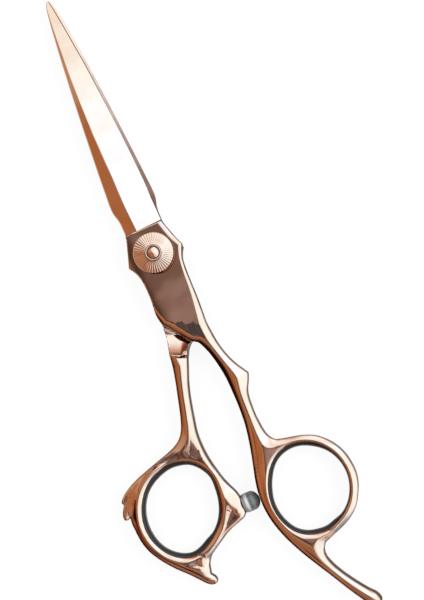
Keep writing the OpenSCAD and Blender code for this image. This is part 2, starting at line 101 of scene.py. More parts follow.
# %% Node and mesh helpers
scene = bpy.context.scene
scene.view_settings.view_transform = "Standard"


def node(tree, kind, place=(0, 0), **settings):
    """Adds a node, sets its properties, and sets inputs that are given by name or number in `inputs`."""
    made = tree.nodes.new(kind)
    made.location = place
    for name, value in settings.pop("inputs", {}).items():
        made.inputs[name].default_value = value
    for name, value in settings.items():
        setattr(made, name, value)
    return made


def link(tree, *pairs):
    """Links pairs of an output and an input."""
    for start, end in pairs:
        tree.links.new(start, end)


def fresh_material(name):
    material = bpy.data.materials.new(name)
    material.use_nodes = True
    material.node_tree.nodes.clear()
    return material, material.node_tree


def piece_from(name, points, faces, normals=None):
    """Object from points in mm. Normals, one for each face corner, keep facets true and blends smooth."""
    mesh = bpy.data.meshes.new(name)
    mesh.from_pydata((np.asarray(points, float) * MM).tolist(), [], [list(map(int, f)) for f in faces])
    mesh.polygons.foreach_set("use_smooth", np.ones(len(mesh.polygons), bool))
    if normals is not None:
        mesh.normals_split_custom_set(normals)
    mesh.update()
    made = bpy.data.objects.new(name, mesh)
    scene.collection.objects.link(made)
    return made


print("helpers ready, view transform", scene.view_settings.view_transform)

# %% [markdown]
# ## The studio
# Mirror-bright metal shows its surroundings, so the light is built as a photographer builds it: a tunnel of
# panels with its axis along the shears. A white diffuser stands on the right, a dark slot for the camera runs
# along the top, and a kraft-brown board on the left gives the warm side of every bevel. Rose gold swallows
# blue, so the bright panels are bluer than white, and their reflections read as cream. The panels are seen
# only in reflections. The floor and the world stay plain and white.

# %% White world and pale floor
WHITE = (1, 1, 1, 1)
SKY_LIGHT, SKY_SEEN = 0.75, 1.0
FLOOR_HALF, FLOOR_Z, FLOOR_COLOUR, FLOOR_GLOW = 3000, -0.02, (0.92, 0.92, 0.92, 1), 0.9


def background_share(tree):
    """1 for rays that see the background directly or in metal or glass, 0 for rays that only light things."""
    path = node(tree, "ShaderNodeLightPath", (-900, 300))
    first = node(tree, "ShaderNodeMath", (-700, 300), operation="MAXIMUM")
    both = node(tree, "ShaderNodeMath", (-520, 300), operation="MAXIMUM")
    link(tree, (path.outputs["Is Camera Ray"], first.inputs[0]),
         (path.outputs["Is Glossy Ray"], first.inputs[1]), (first.outputs[0], both.inputs[0]),
         (path.outputs["Is Transmission Ray"], both.inputs[1]))
    return both.outputs[0]


world = bpy.data.worlds.new("studio")
scene.world = world
world.use_nodes = True
tree = world.node_tree
tree.nodes.clear()
plain = node(tree, "ShaderNodeBackground", (-300, 0), inputs={0: WHITE, 1: SKY_LIGHT})
white = node(tree, "ShaderNodeBackground", (-300, -150), inputs={0: WHITE, 1: SKY_SEEN})
choose = node(tree, "ShaderNodeMixShader", (0, 0))
out = node(tree, "ShaderNodeOutputWorld", (200, 0))
link(tree, (background_share(tree), choose.inputs[0]), (plain.outputs[0], choose.inputs[1]),
     (white.outputs[0], choose.inputs[2]), (choose.outputs[0], out.inputs[0]))

floor_corners = [(x * FLOOR_HALF, y * FLOOR_HALF, FLOOR_Z) for x, y in ((-1, -1), (1, -1), (1, 1), (-1, 1))]
floor = piece_from("floor", floor_corners, [(0, 1, 2, 3)])
floor_material, tree = fresh_material("pale_floor")
paper = node(tree, "ShaderNodeBsdfDiffuse", (-300, 0), inputs={"Color": FLOOR_COLOUR})
glow = node(tree, "ShaderNodeEmission", (-300, -150), inputs={"Color": WHITE, "Strength": 1.0})
share = node(tree, "ShaderNodeMath", (-320, 250), operation="MULTIPLY", inputs={1: FLOOR_GLOW})
mix = node(tree, "ShaderNodeMixShader", (0, 0))
out = node(tree, "ShaderNodeOutputMaterial", (200, 0))
link(tree, (background_share(tree), share.inputs[0]), (share.outputs[0], mix.inputs[0]),
     (paper.outputs[0], mix.inputs[1]), (glow.outputs[0], mix.inputs[2]), (mix.outputs[0], out.inputs[0]))
floor.data.materials.append(floor_material)
print("floor and world made")

# %% Light of the tunnel's panels
DIM, BRIGHT = (0.16, 0.15, 0.16), (1.25, 2.05, 3.0)
KRAFT, GREY, BLACK = (0.58, 0.43, 0.28), (0.075, 0.092, 0.115), (0.012, 0.008, 0.008)
# Across the tunnel: angle up from the right-hand horizon, and light
ACROSS = [
    (0, DIM), (23, DIM), (36, BRIGHT), (66, BRIGHT), (76, (1.15, 1.75, 2.4)), (84, (1.1, 1.6, 2.1)),
    (89, (0.8, 1.0, 1.2)), (94, (0.3, 0.28, 0.32)), (99, (0.26, 0.25, 0.3)), (104, (0.1, 0.11, 0.13)),
    (107, (0.12, 0.12, 0.13)), (112, (0.66, 0.64, 0.62)), (119, (0.62, 0.55, 0.45)), (128, KRAFT),
    (144, (0.48, 0.32, 0.2)), (153, (0.2, 0.11, 0.08)), (161, BLACK), (180, BLACK),
]
# Along the camera's slot: place in mm from the pivot towards the tips, and light
SLOT = [
    (-2000, (0.5, 0.5, 0.55)), (-1100, (0.8, 0.9, 1.0)), (-350, (0.9, 1.1, 1.3)),
    (-150, (0.28, 0.24, 0.26)), (-46, (0.24, 0.2, 0.21)), (-32, GREY), (12, GREY), (22, (0.12, 0.11, 0.11)),
    (32, (0.33, 0.3, 0.3)), (50, (0.36, 0.34, 0.36)), (66, (0.28, 0.25, 0.24)), (80, (0.19, 0.155, 0.14)),
    (100, (0.17, 0.14, 0.125)), (150, (0.45, 0.48, 0.58)), (190, (0.8, 1.0, 1.2)), (220, (1.25, 1.8, 2.1)),
    (560, (1.2, 1.6, 1.8)), (780, (0.9, 0.8, 0.75)), (1000, (0.46, 0.24, 0.17)), (1400, (0.26, 0.09, 0.055)),
    (2000, (0.2, 0.06, 0.04)),
]
# What is left of the side panels' light along the tunnel, on the right and on the left
FADE_RIGHT = [
    (-2000, (0.12, 0.12, 0.12)), (-1300, (0.4, 0.38, 0.36)), (-900, (0.9, 0.86, 0.72)),
    (-30, (0.95, 0.91, 0.75)), (15, (1, 1, 0.95)), (95, (1, 1, 1)), (140, (0.95, 0.94, 0.81)),
    (215, (0.9, 0.74, 0.56)), (270, (0.9, 0.74, 0.56)), (400, (0.98, 0.92, 0.78)), (700, (0.92, 0.82, 0.68)),
    (1000, (0.6, 0.32, 0.2)), (1400, (0.3, 0.09, 0.05)), (2000, (0.15, 0.04, 0.02)),
]
FADE_LEFT = [
    (-2000, (0.2, 0.2, 0.2)), (-900, (0.5, 0.45, 0.45)), (-500, (0.6, 0.52, 0.55)),
    (-150, (0.66, 0.52, 0.44)), (-60, (0.78, 0.57, 0.4)), (180, (0.77, 0.53, 0.35)),
    (295, (0.75, 0.51, 0.34)), (345, (0.95, 0.9, 0.85)), (600, (1, 1, 1)), (1000, (0.8, 0.7, 0.6)),
    (1500, (0.4, 0.3, 0.25)), (2000, (0.2, 0.1, 0.08)),
]
# Across the tunnel: angle, and share of the slot's light or of the left-hand fading
SLOT_SHARE = [(0, 0), (82, 0), (89, 1), (99, 1), (104, 0), (180, 0)]
LEFT_SHARE = [(0, 0), (94, 0), (98, 1), (180, 1)]
print("tunnel with", len(ACROSS), "panels and", len(SLOT), "steps along its slot")

# %% Tunnel of reflector panels
TUNNEL_R, TUNNEL_LENGTH, TUNNEL_STEPS = 700.0, 9000.0, 96
TUNNEL_TURN, TUNNEL_LIFT = math.radians(11), 1.0
PANEL_REACH, LIGHT_SCALE = 2000, 4.0
ROUND, LENGTHWISE = (0, 180), (-PANEL_REACH, PANEL_REACH)


def ramp(tree, place, stops):
    """Colour ramp from rows of position and colour."""
    made = node(tree, "ShaderNodeValToRGB", place)
    elements = made.color_ramp.elements
    while len(elements) < len(stops):
        elements.new(0.5)
    for element, (position, colour) in zip(elements, stops):
        element.position = position
        element.color = (*colour, 1)
    return made


def light_ramp(tree, place, rows, ends, scale=1.0):
    """Colour ramp from rows of place and light, between two ends, with the light brought under 1."""
    low, high = ends
    stops = [((at - low) / (high - low), tuple(c / scale for c in light)) for at, light in rows]
    return ramp(tree, place, stops)


def share_ramp(tree, place, rows):
    """Grey ramp round the tunnel from rows of angle and share."""
    return light_ramp(tree, place, [(at, (share,) * 3) for at, share in rows], ROUND)


arc = [math.pi * i / TUNNEL_STEPS for i in range(TUNNEL_STEPS + 1)]
wall = [(TUNNEL_R * math.cos(a), end * TUNNEL_LENGTH / 2, TUNNEL_R * math.sin(a))
        for a in arc for end in (-1, 1)]
panels = [(2 * i, 2 * i + 1, 2 * i + 3, 2 * i + 2) for i in range(TUNNEL_STEPS)]
tunnel = piece_from("light_tunnel", wall, panels)
tunnel.rotation_euler = (0, 0, TUNNEL_TURN)
tunnel.location = (0, 0, TUNNEL_LIFT * MM)
tunnel_material, tree = fresh_material("tunnel_panels")
coords = node(tree, "ShaderNodeTexCoord", (-1300, 0))
split = node(tree, "ShaderNodeSeparateXYZ", (-1100, 0))
angle = node(tree, "ShaderNodeMath", (-900, 100), operation="ARCTAN2")
across = node(tree, "ShaderNodeMath", (-720, 100), operation="DIVIDE", inputs={1: math.pi})
along = node(tree, "ShaderNodeMapRange", (-720, -150),
             inputs={"From Min": -PANEL_REACH * MM, "From Max": PANEL_REACH * MM})
sides = light_ramp(tree, (-450, 300), ACROSS, ROUND, LIGHT_SCALE)
slot = light_ramp(tree, (-450, 50), SLOT, LENGTHWISE, LIGHT_SCALE)
fade_right = light_ramp(tree, (-450, -200), FADE_RIGHT, LENGTHWISE)
fade_left = light_ramp(tree, (-450, -450), FADE_LEFT, LENGTHWISE)
slot_share = share_ramp(tree, (-450, -700), SLOT_SHARE)
left_share = share_ramp(tree, (-450, -950), LEFT_SHARE)
fade = node(tree, "ShaderNodeMix", (-250, -300), data_type="RGBA")
faded = node(tree, "ShaderNodeMix", (-150, 300), data_type="RGBA", blend_type="MULTIPLY", inputs={0: 1.0})
joined = node(tree, "ShaderNodeMix", (50, 100), data_type="RGBA")
glow = node(tree, "ShaderNodeEmission", (250, 0), inputs={"Strength": LIGHT_SCALE})
out = node(tree, "ShaderNodeOutputMaterial", (450, 0))
link(tree, (coords.outputs["Object"], split.inputs[0]), (split.outputs["Z"], angle.inputs[0]),
     (split.outputs["X"], angle.inputs[1]), (angle.outputs[0], across.inputs[0]),
     (split.outputs["Y"], along.inputs["Value"]),
     *((across.outputs[0], made.inputs[0]) for made in (sides, slot_share, left_share)),
     *((along.outputs[0], made.inputs[0]) for made in (slot, fade_right, fade_left)),
     (left_share.outputs[0], fade.inputs["Factor"]), (fade_right.outputs[0], fade.inputs["A"]),
     (fade_left.outputs[0], fade.inputs["B"]), (sides.outputs[0], faded.inputs["A"]),
     (fade.outputs["Result"], faded.inputs["B"]), (slot_share.outputs[0], joined.inputs["Factor"]),
     (faded.outputs["Result"], joined.inputs["A"]), (slot.outputs[0], joined.inputs["B"]),
     (joined.outputs["Result"], glow.inputs["Color"]), (glow.outputs[0], out.inputs[0]))
tunnel.data.materials.append(tunnel_material)
for kind in ("camera", "diffuse", "transmission", "volume_scatter", "shadow"):
    setattr(tunnel, "visible_" + kind, False)
print("tunnel of", len(tunnel.data.polygons), "faces")

# %% Soft lamps for the rubber and the shadow
LAMPS = [("key", (600, -150, 500), 500, 5.0), ("fill", (-500, 250, 700), 700, 3.0)]
LAMP_AIM = Vector((0, -20, 0)) * MM
for name, place, size, watts in LAMPS:
    data = bpy.data.lights.new(name, "AREA")
    data.size = size * MM
    data.energy = watts
    lamp = bpy.data.objects.new(name, data)
    lamp.location = Vector(place) * MM
    lamp.rotation_euler = (LAMP_AIM - lamp.location).to_track_quat("-Z", "Y").to_euler()
    lamp.visible_glossy = False
    scene.collection.objects.link(lamp)
print("lamps:", [lamp[0] for lamp in LAMPS])

# %% [markdown]
# ## Smooth lines from a few points
# Outlines are given as points that a person can read off a drawing. A cubic through them, with the slope at
# each point taken from its neighbours, makes the smooth line. A third number marks a corner, where the slope
# is allowed to break.

# %% Smooth line through points
def smooth_line(rows, step=0.4, closed=True):
    """Points along a cubic through rows of x, y and an optional corner mark."""
    p = np.array([r[:2] for r in rows], float)
    corner = np.array([len(r) > 2 for r in rows])
    n = len(p)
    if not closed:
        corner[0] = corner[-1] = True
    length = np.linalg.norm(np.roll(p, -1, 0) - p, axis=1)
    run = (np.roll(p, -1, 0) - p) / length[:, None]
    before = np.roll(length, 1)
    slope = (np.roll(run, 1, 0) * length[:, None] + run * before[:, None]) / (length + before)[:, None]
    line = []
    for i in range(n if closed else n - 1):
        j = (i + 1) % n
        start = run[i] if corner[i] else slope[i]
        stop = run[i] if corner[j] else slope[j]
        for t in np.linspace(0, 1, max(2, math.ceil(length[i] / step)) + 1)[:-1]:
            line.append(p[i] * (1 + 2 * t) * (1 - t) ** 2 + start * length[i] * t * (1 - t) ** 2
                        + p[j] * t * t * (3 - 2 * t) - stop * length[i] * t * t * (1 - t))
    return np.array(line if closed else line + [p[-1]])


def nearest_on(line, xy, closed=True, bin_size=2.0):
    """Distance from plan points to a line, the nearest segment and how far along it, bin by bin."""
    a = line if closed else line[:-1]
    b = np.roll(line, -1, 0) if closed else line[1:]
    ab = b - a
    size = np.maximum((ab ** 2).sum(1), 1e-12)

    def reach(q, of):
        t = np.clip(((q[:, None] - a[of]) * ab[of]).sum(2) / size[of], 0, 1)
        return np.linalg.norm(q[:, None] - a[of] - t[..., None] * ab[of], axis=2), t

    bins = np.floor(xy / bin_size).astype(int)
    order = np.lexsort(bins.T)
    breaks = np.flatnonzero(np.any(np.diff(bins[order], axis=0), axis=1)) + 1
    distance, segment, share = np.zeros(len(xy)), np.zeros(len(xy), int), np.zeros(len(xy))
    for group in np.split(order, breaks):
        rough = reach((bins[group[0]] + 0.5)[None] * bin_size, np.arange(len(a)))[0][0]
        close = np.flatnonzero(rough <= rough.min() + 1.5 * bin_size)
        d, t = reach(xy[group], close)
        k = d.argmin(1)
        rows = np.arange(len(group))
        distance[group], segment[group], share[group] = d[rows, k], close[k], t[rows, k]
    return distance, segment, share


def depth_in(line, xy):
    """Distance inside a closed line, negative outside, with the nearest segment and the share along it."""
    distance, segment, share = nearest_on(line, xy)
    a, b = line, np.roll(line, -1, 0)
    inside = np.zeros(len(xy), bool)
    for p, q in zip(a, b):
        if p[1] != q[1]:
            crosses = (p[1] > xy[:, 1]) != (q[1] > xy[:, 1])
            inside ^= crosses & (xy[:, 0] < (q[0] - p[0]) * (xy[:, 1] - p[1]) / (q[1] - p[1]) + p[0])
    return np.where(inside, distance, -distance), segment, share


print("smooth circle of", len(smooth_line([(1, 0), (0, 1), (-1, 0), (0, -1)])), "points")

# %% [markdown]
# ## Outlines of the two halves
# A half starts as a blank forged in a die and trimmed to an outline. The finger half carries the plate, a
# shank with a small bump, the finger ring and the little-finger tang. The thumb half has a shank, the thumb
# ring with its two-lobed feather, the boss of the bumper and a forked tail.

# %% Outline of the finger half
finger_left = [
    (-5.25, 10, 1), (-5.15, 7.2), (-6.2, 3.4), (-7.1, 0.6), (-7.65, -1, 1), (-6.9, -2.1), (-6.2, -3.5),
    (-5.8, -5), (-5.6, -7), (-5.55, -10), (-5.8, -13), (-5.95, -14.5), (-5.8, -16), (-5.4, -17.5),
    (-4.5, -18.5), (-2.8, -20.7), (-2, -21.8), (-1, -23.4), (0, -24.4), (1.2, -25.2), (1.9, -26.5),
    (2.5, -28), (3.2, -30.5), (3.7, -33), (4.1, -36), (4.25, -40), (4.2, -45), (3.9, -49), (3.5, -51.5),
    (3, -54), (2.3, -57), (1.5, -60), (0.6, -63.5), (0.1, -66.5), (0, -70), (0.3, -73), (1, -76), (2, -79),
    (3.2, -81.8), (4.8, -85), (7, -89), (9, -92.5), (11.5, -97), (13.6, -100.5), (15.4, -103.2),
]
finger_right = [
    (16.6, -104.1), (17.8, -103.6), (18.5, -102.4), (18.2, -101.1), (16.4, -98.8), (14, -95.5), (12, -92.3),
    (10.5, -89.3), (9.95, -87.6), (9.9, -86.2), (10.3, -85.1), (11.1, -84.2), (12.6, -83.6), (14.6, -82.9),
    (17.2, -81.9), (19.7, -80.5), (21.8, -78.6), (23.3, -76.2), (24.5, -73.6), (25.05, -71), (25, -68.5),
    (24.4, -65.4), (23.1, -62.6), (21.1, -60.1), (19, -58.4), (16, -57.1), (13, -56.35), (11, -55.9),
    (9.3, -55.3), (8.3, -54), (7.7, -52), (7.5, -50), (7.35, -48), (7.45, -45), (7.6, -43), (8.1, -41),
    (8.9, -39.5), (9.6, -38), (9.85, -37.2), (9.4, -36.3), (8.3, -34.5), (7.3, -32.5), (6.4, -30),
    (5.7, -27), (5.35, -24), (5.2, -21), (5.4, -18), (5.6, -14), (5.65, -10), (5.8, -6), (6, -4),
    (6.6, -2.2), (7.4, -0.4, 1), (6.3, 2.3), (5.5, 4.8), (4.9, 7), (4.9, 10, 1),
]
finger_line = smooth_line(finger_left + finger_right)
print("finger half outline:", len(finger_line), "points,", np.ptp(finger_line, axis=0).round(1), "mm")

# %% Outline of the thumb half
thumb_left = [
    (-4.65, 10, 1), (-4.65, 7), (-5.2, 4.8), (-6, 2.3), (-7, -0.4, 1), (-6.25, -2.2), (-5.7, -4), (-5.5, -6),
    (-5.35, -10), (-5.35, -14), (-5.6, -17), (-5.8, -19), (-6, -21.5), (-6.4, -23.5), (-6.75, -25.5),
    (-7, -27), (-7.5, -29.5), (-8.2, -32.5), (-9, -35.5), (-9.8, -38.5), (-10.7, -41.5), (-11.7, -44),
    (-12.8, -45.6), (-14.5, -46.9), (-17, -47.9), (-20, -48.8), (-24, -50), (-27, -51), (-30, -52.4),
    (-32, -53.8), (-32.8, -54.7), (-32.9, -55.2), (-32.55, -55.7, 1), (-33.3, -56.8), (-33.9, -58.2),
    (-34, -59), (-33.6, -59.6), (-32.9, -59.5), (-32.35, -59.2, 1), (-32.5, -61), (-32.4, -63), (-32.1, -66),
    (-31.4, -68.5), (-30, -71.2), (-28, -74), (-26, -76.3), (-24, -78.4), (-22, -80.7), (-20.7, -82.2),
    (-19.6, -82.9),
]
thumb_right = [
    (-18.7, -83), (-18, -82.4), (-18, -81.5), (-18.85, -80.2, 1), (-18.2, -77.8), (-17.2, -76.3),
    (-15.5, -75.1), (-13.5, -73.9), (-11.5, -72.7), (-9.5, -71.8), (-7.3, -71.1), (-5.4, -70.3),
    (-4.6, -69.5, 1), (-4.45, -65.2, 1), (-4.85, -63.6), (-5.8, -61.4), (-6.7, -58.9), (-7.3, -56.4),
    (-7.8, -54), (-8.2, -50), (-8, -45.5), (-7.5, -43), (-6.8, -39.8), (-6, -36.5), (-4.9, -33),
    (-3.9, -30.5), (-3.1, -28.5), (-2.4, -26.8), (-1.7, -25.6), (-0.7, -24.6), (0.4, -23.8), (1, -23.2),
    (1.9, -21.8), (2.65, -20.7), (4.1, -18.5), (4.8, -17.3), (5.1, -16), (5.2, -14.5), (5.2, -13),
    (5.25, -10), (5.3, -7), (5.5, -5), (5.9, -3.5), (6.5, -2.1), (7.2, -1, 1), (6.7, 0.6), (5.9, 3.4),
    (4.85, 7.2), (4.95, 10, 1),
]
thumb_line = smooth_line(thumb_left + thumb_right)
print("thumb half outline:", len(thumb_line), "points,", np.ptp(thumb_line, axis=0).round(1), "mm")

# %% [markdown]
# ## Bevels as a roof over the outline
# A polished handle catches the light on two long bevels that meet in a ridge. That is a roof over the
# outline: its height grows with the distance from the edge, steeply over a narrow band and then at an even
# slope, and the ridge appears by itself where the two sides meet. Rings add a bevel that falls to the hole,
# plates cut the roof off flat, and the hollows between ring and shank press it down.

# %% Roof pieces
STEEP, SLOPE = math.tan(math.radians(38.5)), math.tan(math.radians(20))
LIP_SLOPE, CREST_SLOPE, RIM_STEP = 0.75, 0.1, 0.62
RIM_REACH, RIM_FADE = 6, 2
BAND_ROUND, RIDGE_ROUND, STEP_ROUND, RIM_ROUND = 0.22, 0.4, 0.15, 0.2
SCORE_WIDTH = 0.26
# Middle of each hole, its two half axes and its turn in degrees
FINGER_RING = (12.8, -69.75, 10.7, 11.75, 0)
THUMB_RING = (-19.7, -62.65, 10.6, 11.95, -7)


def soft_min(a, b, k):
    """The smaller of two heights, with their crease rounded over k."""
    blend = np.maximum(k - np.abs(a - b), 0) / k
    return np.minimum(a, b) - blend * blend * k / 4


def soft_max(a, b, k):
    return -soft_min(-a, -b, k)


def on_ring(ring, angle, out):
    """Point at an angle round a ring's hole and a distance out from its wall."""
    a = math.radians(angle)
    nx, ny = ring[3] * math.cos(a), ring[2] * math.sin(a)
    size = math.hypot(nx, ny)
    x, y = ring[2] * math.cos(a) + out * nx / size, ring[3] * math.sin(a) + out * ny / size
    c, s = math.cos(math.radians(ring[4])), math.sin(math.radians(ring[4]))
    return ring[0] + x * c - y * s, ring[1] + x * s + y * c


def ring_line(ring, rows):
    """Closed line round a ring's hole, from rows of angle and distance out from its wall."""
    return smooth_line([on_ring(ring, angle, out) for angle, out in rows], step=0.6)


def ring_angle(ring, xy):
    """Angle of plan points round a ring's hole, in degrees."""
    c, s = math.cos(math.radians(ring[4])), math.sin(math.radians(ring[4]))
    dx, dy = xy[:, 0] - ring[0], xy[:, 1] - ring[1]
    return np.degrees(np.arctan2((dy * c - dx * s) / ring[3], (dx * c + dy * s) / ring[2]))


def look_up(rows, at, **how):
    """Columns of a table of rows, read at places along its first column."""
    table = np.array(sorted(rows), float)
    return [np.interp(at, table[:, 0], column, **how) for column in table[:, 1:].T]


def part_way(values, segment, share):
    """Values at the points of a line, read a share of the way along a segment."""
    return values[segment] * (1 - share) + values[segment + 1] * share


def with_rim(roof, ring, rim, lip, xy):
    """Adds the raised rim of a hole to a roof: rounded up from the lip to a crest, then a steep step down."""
    start, height, crest, drop = look_up(rim, ring_angle(ring, xy), period=360)
    width = crest - start
    run = np.clip(lip, 0, width)
    inner = height + LIP_SLOPE * run - (LIP_SLOPE - CREST_SLOPE) * run ** 2 / (2 * width)
    inner = inner + LIP_SLOPE * np.minimum(lip, 0) + CREST_SLOPE * np.maximum(lip - width, 0)
    step = height + (LIP_SLOPE + CREST_SLOPE) * width / 2 - RIM_STEP * (lip - width)
    lowered = roof - drop * np.clip((RIM_REACH - lip) / RIM_FADE, 0, 1)
    return soft_min(soft_max(lowered, step, STEP_ROUND), inner, RIM_ROUND)


def two_sides(line, left_count):
    """Left and right side of a closed outline as open lines that share their ends."""
    return line[:left_count + 1], np.vstack([line[left_count:], line[:1]])


def bevel(line, xy, rows):
    """Distance to one side of an outline, and the edge, band, slope and y of the nearest point on it."""
    distance, segment, share = nearest_on(line, xy, closed=False)
    y = part_way(line[:, 1], segment, share)
    return distance, *look_up(rows, y), y


def roof_over(line, left_count, left_rows, right_rows, score_rows, xy):
    """Depth inside an outline, and the roof of its bevels: rounded ridge, line scored on the left."""
    inside = depth_in(line, xy)[0] > 0
    left, right = two_sides(line, left_count)
    found = [bevel(left, xy, left_rows), bevel(right, xy, right_rows)]
    nearest = np.minimum(found[0][0], found[1][0])
    roofs = []
    for distance, edge, band, slope, _ in found:
        depth = np.where(~inside & (distance <= nearest), -distance, distance)
        upper = edge + (STEEP - slope) * band + slope * depth
        roofs.append(soft_min(edge + STEEP * depth, upper, BAND_ROUND))
    place, cut = look_up(score_rows, found[0][4])
    roofs[0] = roofs[0] - cut * np.exp(-((found[0][0] - place) / SCORE_WIDTH) ** 2)
    return np.where(inside, nearest, -nearest), soft_min(*roofs, RIDGE_ROUND)


def hollow(roof, xy, line, slope, k):
    """Presses a roof down along a line of x, y, floor height and half width."""
    rows = np.array(line, float)
    distance, segment, share = nearest_on(rows[:, :2], xy, closed=False)
    floor_z, half = part_way(rows[:, 2:], segment, share[:, None]).T
    return soft_min(roof, floor_z + slope * np.maximum(distance - half, 0), k)


print("slopes:", round(STEEP, 3), "at the edges,", round(SLOPE, 3), "above them")

# %% [markdown]
# ## From a roof to a mesh
# The roof is a field: negative inside the metal, positive outside. Cubes of a fine grid that the surface cuts
# each get one point, the mean of the cut edges, and neighbouring cubes join into four-sided faces. A few
# steps along the field's slope then put the points exactly on the surface, and the slope is also the normal,
# so the flats reflect like flats. A modifier such as Remesh could do the first half, but not the second.

# %% Surface of a field
GRID, GRID_SHIFT = 0.25, 0.0371
PULLS, PULL_STEP, PULL_MOST, NORMAL_STEP, LEAST_SLOPE = 2, 0.03, 0.6 * GRID, 0.04, 0.5


def surface_of(columns, solid, low, high):
    """Points, four-sided faces and point normals of the surface where solid(columns(xy), z) is zero."""
    axes = [np.arange(a, b + GRID, GRID) + GRID_SHIFT for a, b in zip(low, high)]
    grid_xy = np.stack(np.meshgrid(axes[0], axes[1], indexing="ij"), -1)
    plan = columns(grid_xy.reshape(-1, 2))
    plan = {k: v.reshape(*grid_xy.shape[:2], 1) for k, v in plan.items()}
    field = solid(plan, axes[2][None, None, :])
    inside = field < 0
    total, count, quads = np.zeros(field.shape + (3,)), np.zeros(field.shape), []
    where = np.stack(np.meshgrid(*axes, indexing="ij"), -1)
    for axis in range(3):
        u, v = [(1, 2), (2, 0), (0, 1)][axis]
        one = [slice(None)] * 3
        two = [slice(None)] * 3
        one[axis], two[axis] = slice(0, -1), slice(1, None)
        cut = np.argwhere(inside[tuple(one)] != inside[tuple(two)])
        cut = cut[(cut[:, u] > 0) & (cut[:, v] > 0)]
        after = cut.copy()
        after[:, axis] += 1
        f0, f1 = field[tuple(cut.T)], field[tuple(after.T)]
        t = (f0 / (f0 - f1))[:, None]
        point = where[tuple(cut.T)] * (1 - t) + where[tuple(after.T)] * t
        cells = []
        for du, dv in ((0, 0), (1, 0), (1, 1), (0, 1)):
            cell = cut.copy()
            cell[:, u] -= du
            cell[:, v] -= dv
            np.add.at(total, tuple(cell.T), point)
            np.add.at(count, tuple(cell.T), 1)
            cells.append(np.ravel_multi_index(tuple(cell.T), field.shape))
        ring = np.stack(cells, 1)
        ring[f0 > 0] = ring[f0 > 0][:, ::-1]
        quads.append(ring)
    used = np.flatnonzero(count.ravel())
    number = np.full(count.size, -1)
    number[used] = np.arange(len(used))
    points = (total.reshape(-1, 3)[used] / count.ravel()[used, None])
    faces = number[np.concatenate(quads)]

    def value(p):
        return solid(columns(p[:, :2]), p[:, 2])

    def gradient(p, h):
        slopes = []
        for axis in range(3):
            step = np.zeros(3)
            step[axis] = h
            slopes.append((value(p + step) - value(p - step)) / (2 * h))
        return np.stack(slopes, 1)

    for _ in range(PULLS):
        g = gradient(points, PULL_STEP)
        move = -(value(points) / np.maximum((g ** 2).sum(1), LEAST_SLOPE ** 2))[:, None] * g
        points = points + np.clip(move, -PULL_MOST, PULL_MOST)
    g = gradient(points, NORMAL_STEP)
    normals = g / np.maximum(np.linalg.norm(g, axis=1), 1e-9)[:, None]
    return points, faces, normals


print("grid of", GRID, "mm")

# %% [markdown]
# ## The lap
# Each plate is cut away to the middle plane so that the halves can lie on each other, and its shank rises out
# of that cut on a rounded knuckle. The same knuckle, turned over, clears the other half's plate. Both halves
# share their walls and the sloping end of the plate, where the blade goes on, so those are helpers here.

# %% Lap and knuckle
KNUCKLE_R, KNUCKLE_RUN = 21.2, 6.2
KNUCKLE_CREASE, KNUCKLE_BEND, BEYOND_KNUCKLE = 0.24, 0.325, 20.0
WALL_ROUND = 0.12
END_Y, END_COS, END_SIN, END_ROUND = 7.0, 0.97, 0.25, 0.08
FINGER_PLATE_LOW, THUMB_PLATE_LOW = -26, -24


def knuckle(r):
    """Rise of the shank out of the lap at a distance from the pivot: a crease, then a rounded run."""
    s = (r - KNUCKLE_R) / KNUCKLE_RUN
    run = np.clip(s, 0, 1)
    return np.where(s > 1, BEYOND_KNUCKLE, KNUCKLE_RUN * (KNUCKLE_CREASE * run + KNUCKLE_BEND * run ** 2))


def walled(c, z):
    """The roof on both sides of the middle plane, within the outer wall and the wall of the hole."""
    return soft_max(np.abs(z - Z_MID) - c["roof"], -np.minimum(c["depth"], c["lip"]), WALL_ROUND)


def with_plate_end(body, c, from_face):
    """Cuts a plate's sloping end, from the distance below the plate's outer face."""
    return soft_max(body, (c["y"] - END_Y) * END_COS - from_face * END_SIN, END_ROUND)


finger_plate = finger_line[finger_line[:, 1] > FINGER_PLATE_LOW]
thumb_plate = thumb_line[thumb_line[:, 1] > THUMB_PLATE_LOW]
print("plates:", len(finger_plate), "and", len(thumb_plate), "points")

# %% [markdown]
# ## The finger half
# The forging is the roof over its outline. The left bevel of the shank is steeper at its foot, where the
# photograph shows a dark wall, and the top of the plate dips a little before it runs out into the ridge.

# %% Edges and rim of the finger half
# Rows of y, height of the edge, width of its steep band and slope above it
FINGER_LEFT_EDGE = [
    (10, 2.8, 0, SLOPE), (-11, 2.8, 0, SLOPE), (-12.5, 2.4, 0.2, SLOPE), (-14.5, 2.06, 0.42, SLOPE),
    (-16.5, 1.84, 0.62, SLOPE), (-18.5, 1.92, 0.5, SLOPE), (-20.5, 2.03, 0.27, SLOPE),
    (-24, 1.77, 0.7, SLOPE), (-28, 1.46, 0.95, SLOPE), (-34, 1.18, 1.12, SLOPE), (-41, 1.26, 0.82, SLOPE),
    (-46, 1.34, 0.64, SLOPE), (-51, 1.38, 0.58, SLOPE), (-55, 1.42, 0.58, SLOPE), (-60, 1.47, 0.58, 0.28),
    (-70, 1.52, 0.55, 0.28), (-78, 1.52, 0.55, 0.28), (-83, 1.52, 0.5, 0.3), (-87, 1.47, 0.5, SLOPE),
    (-95, 1.38, 0.5, SLOPE), (-105, 1.25, 0.4, SLOPE),
]
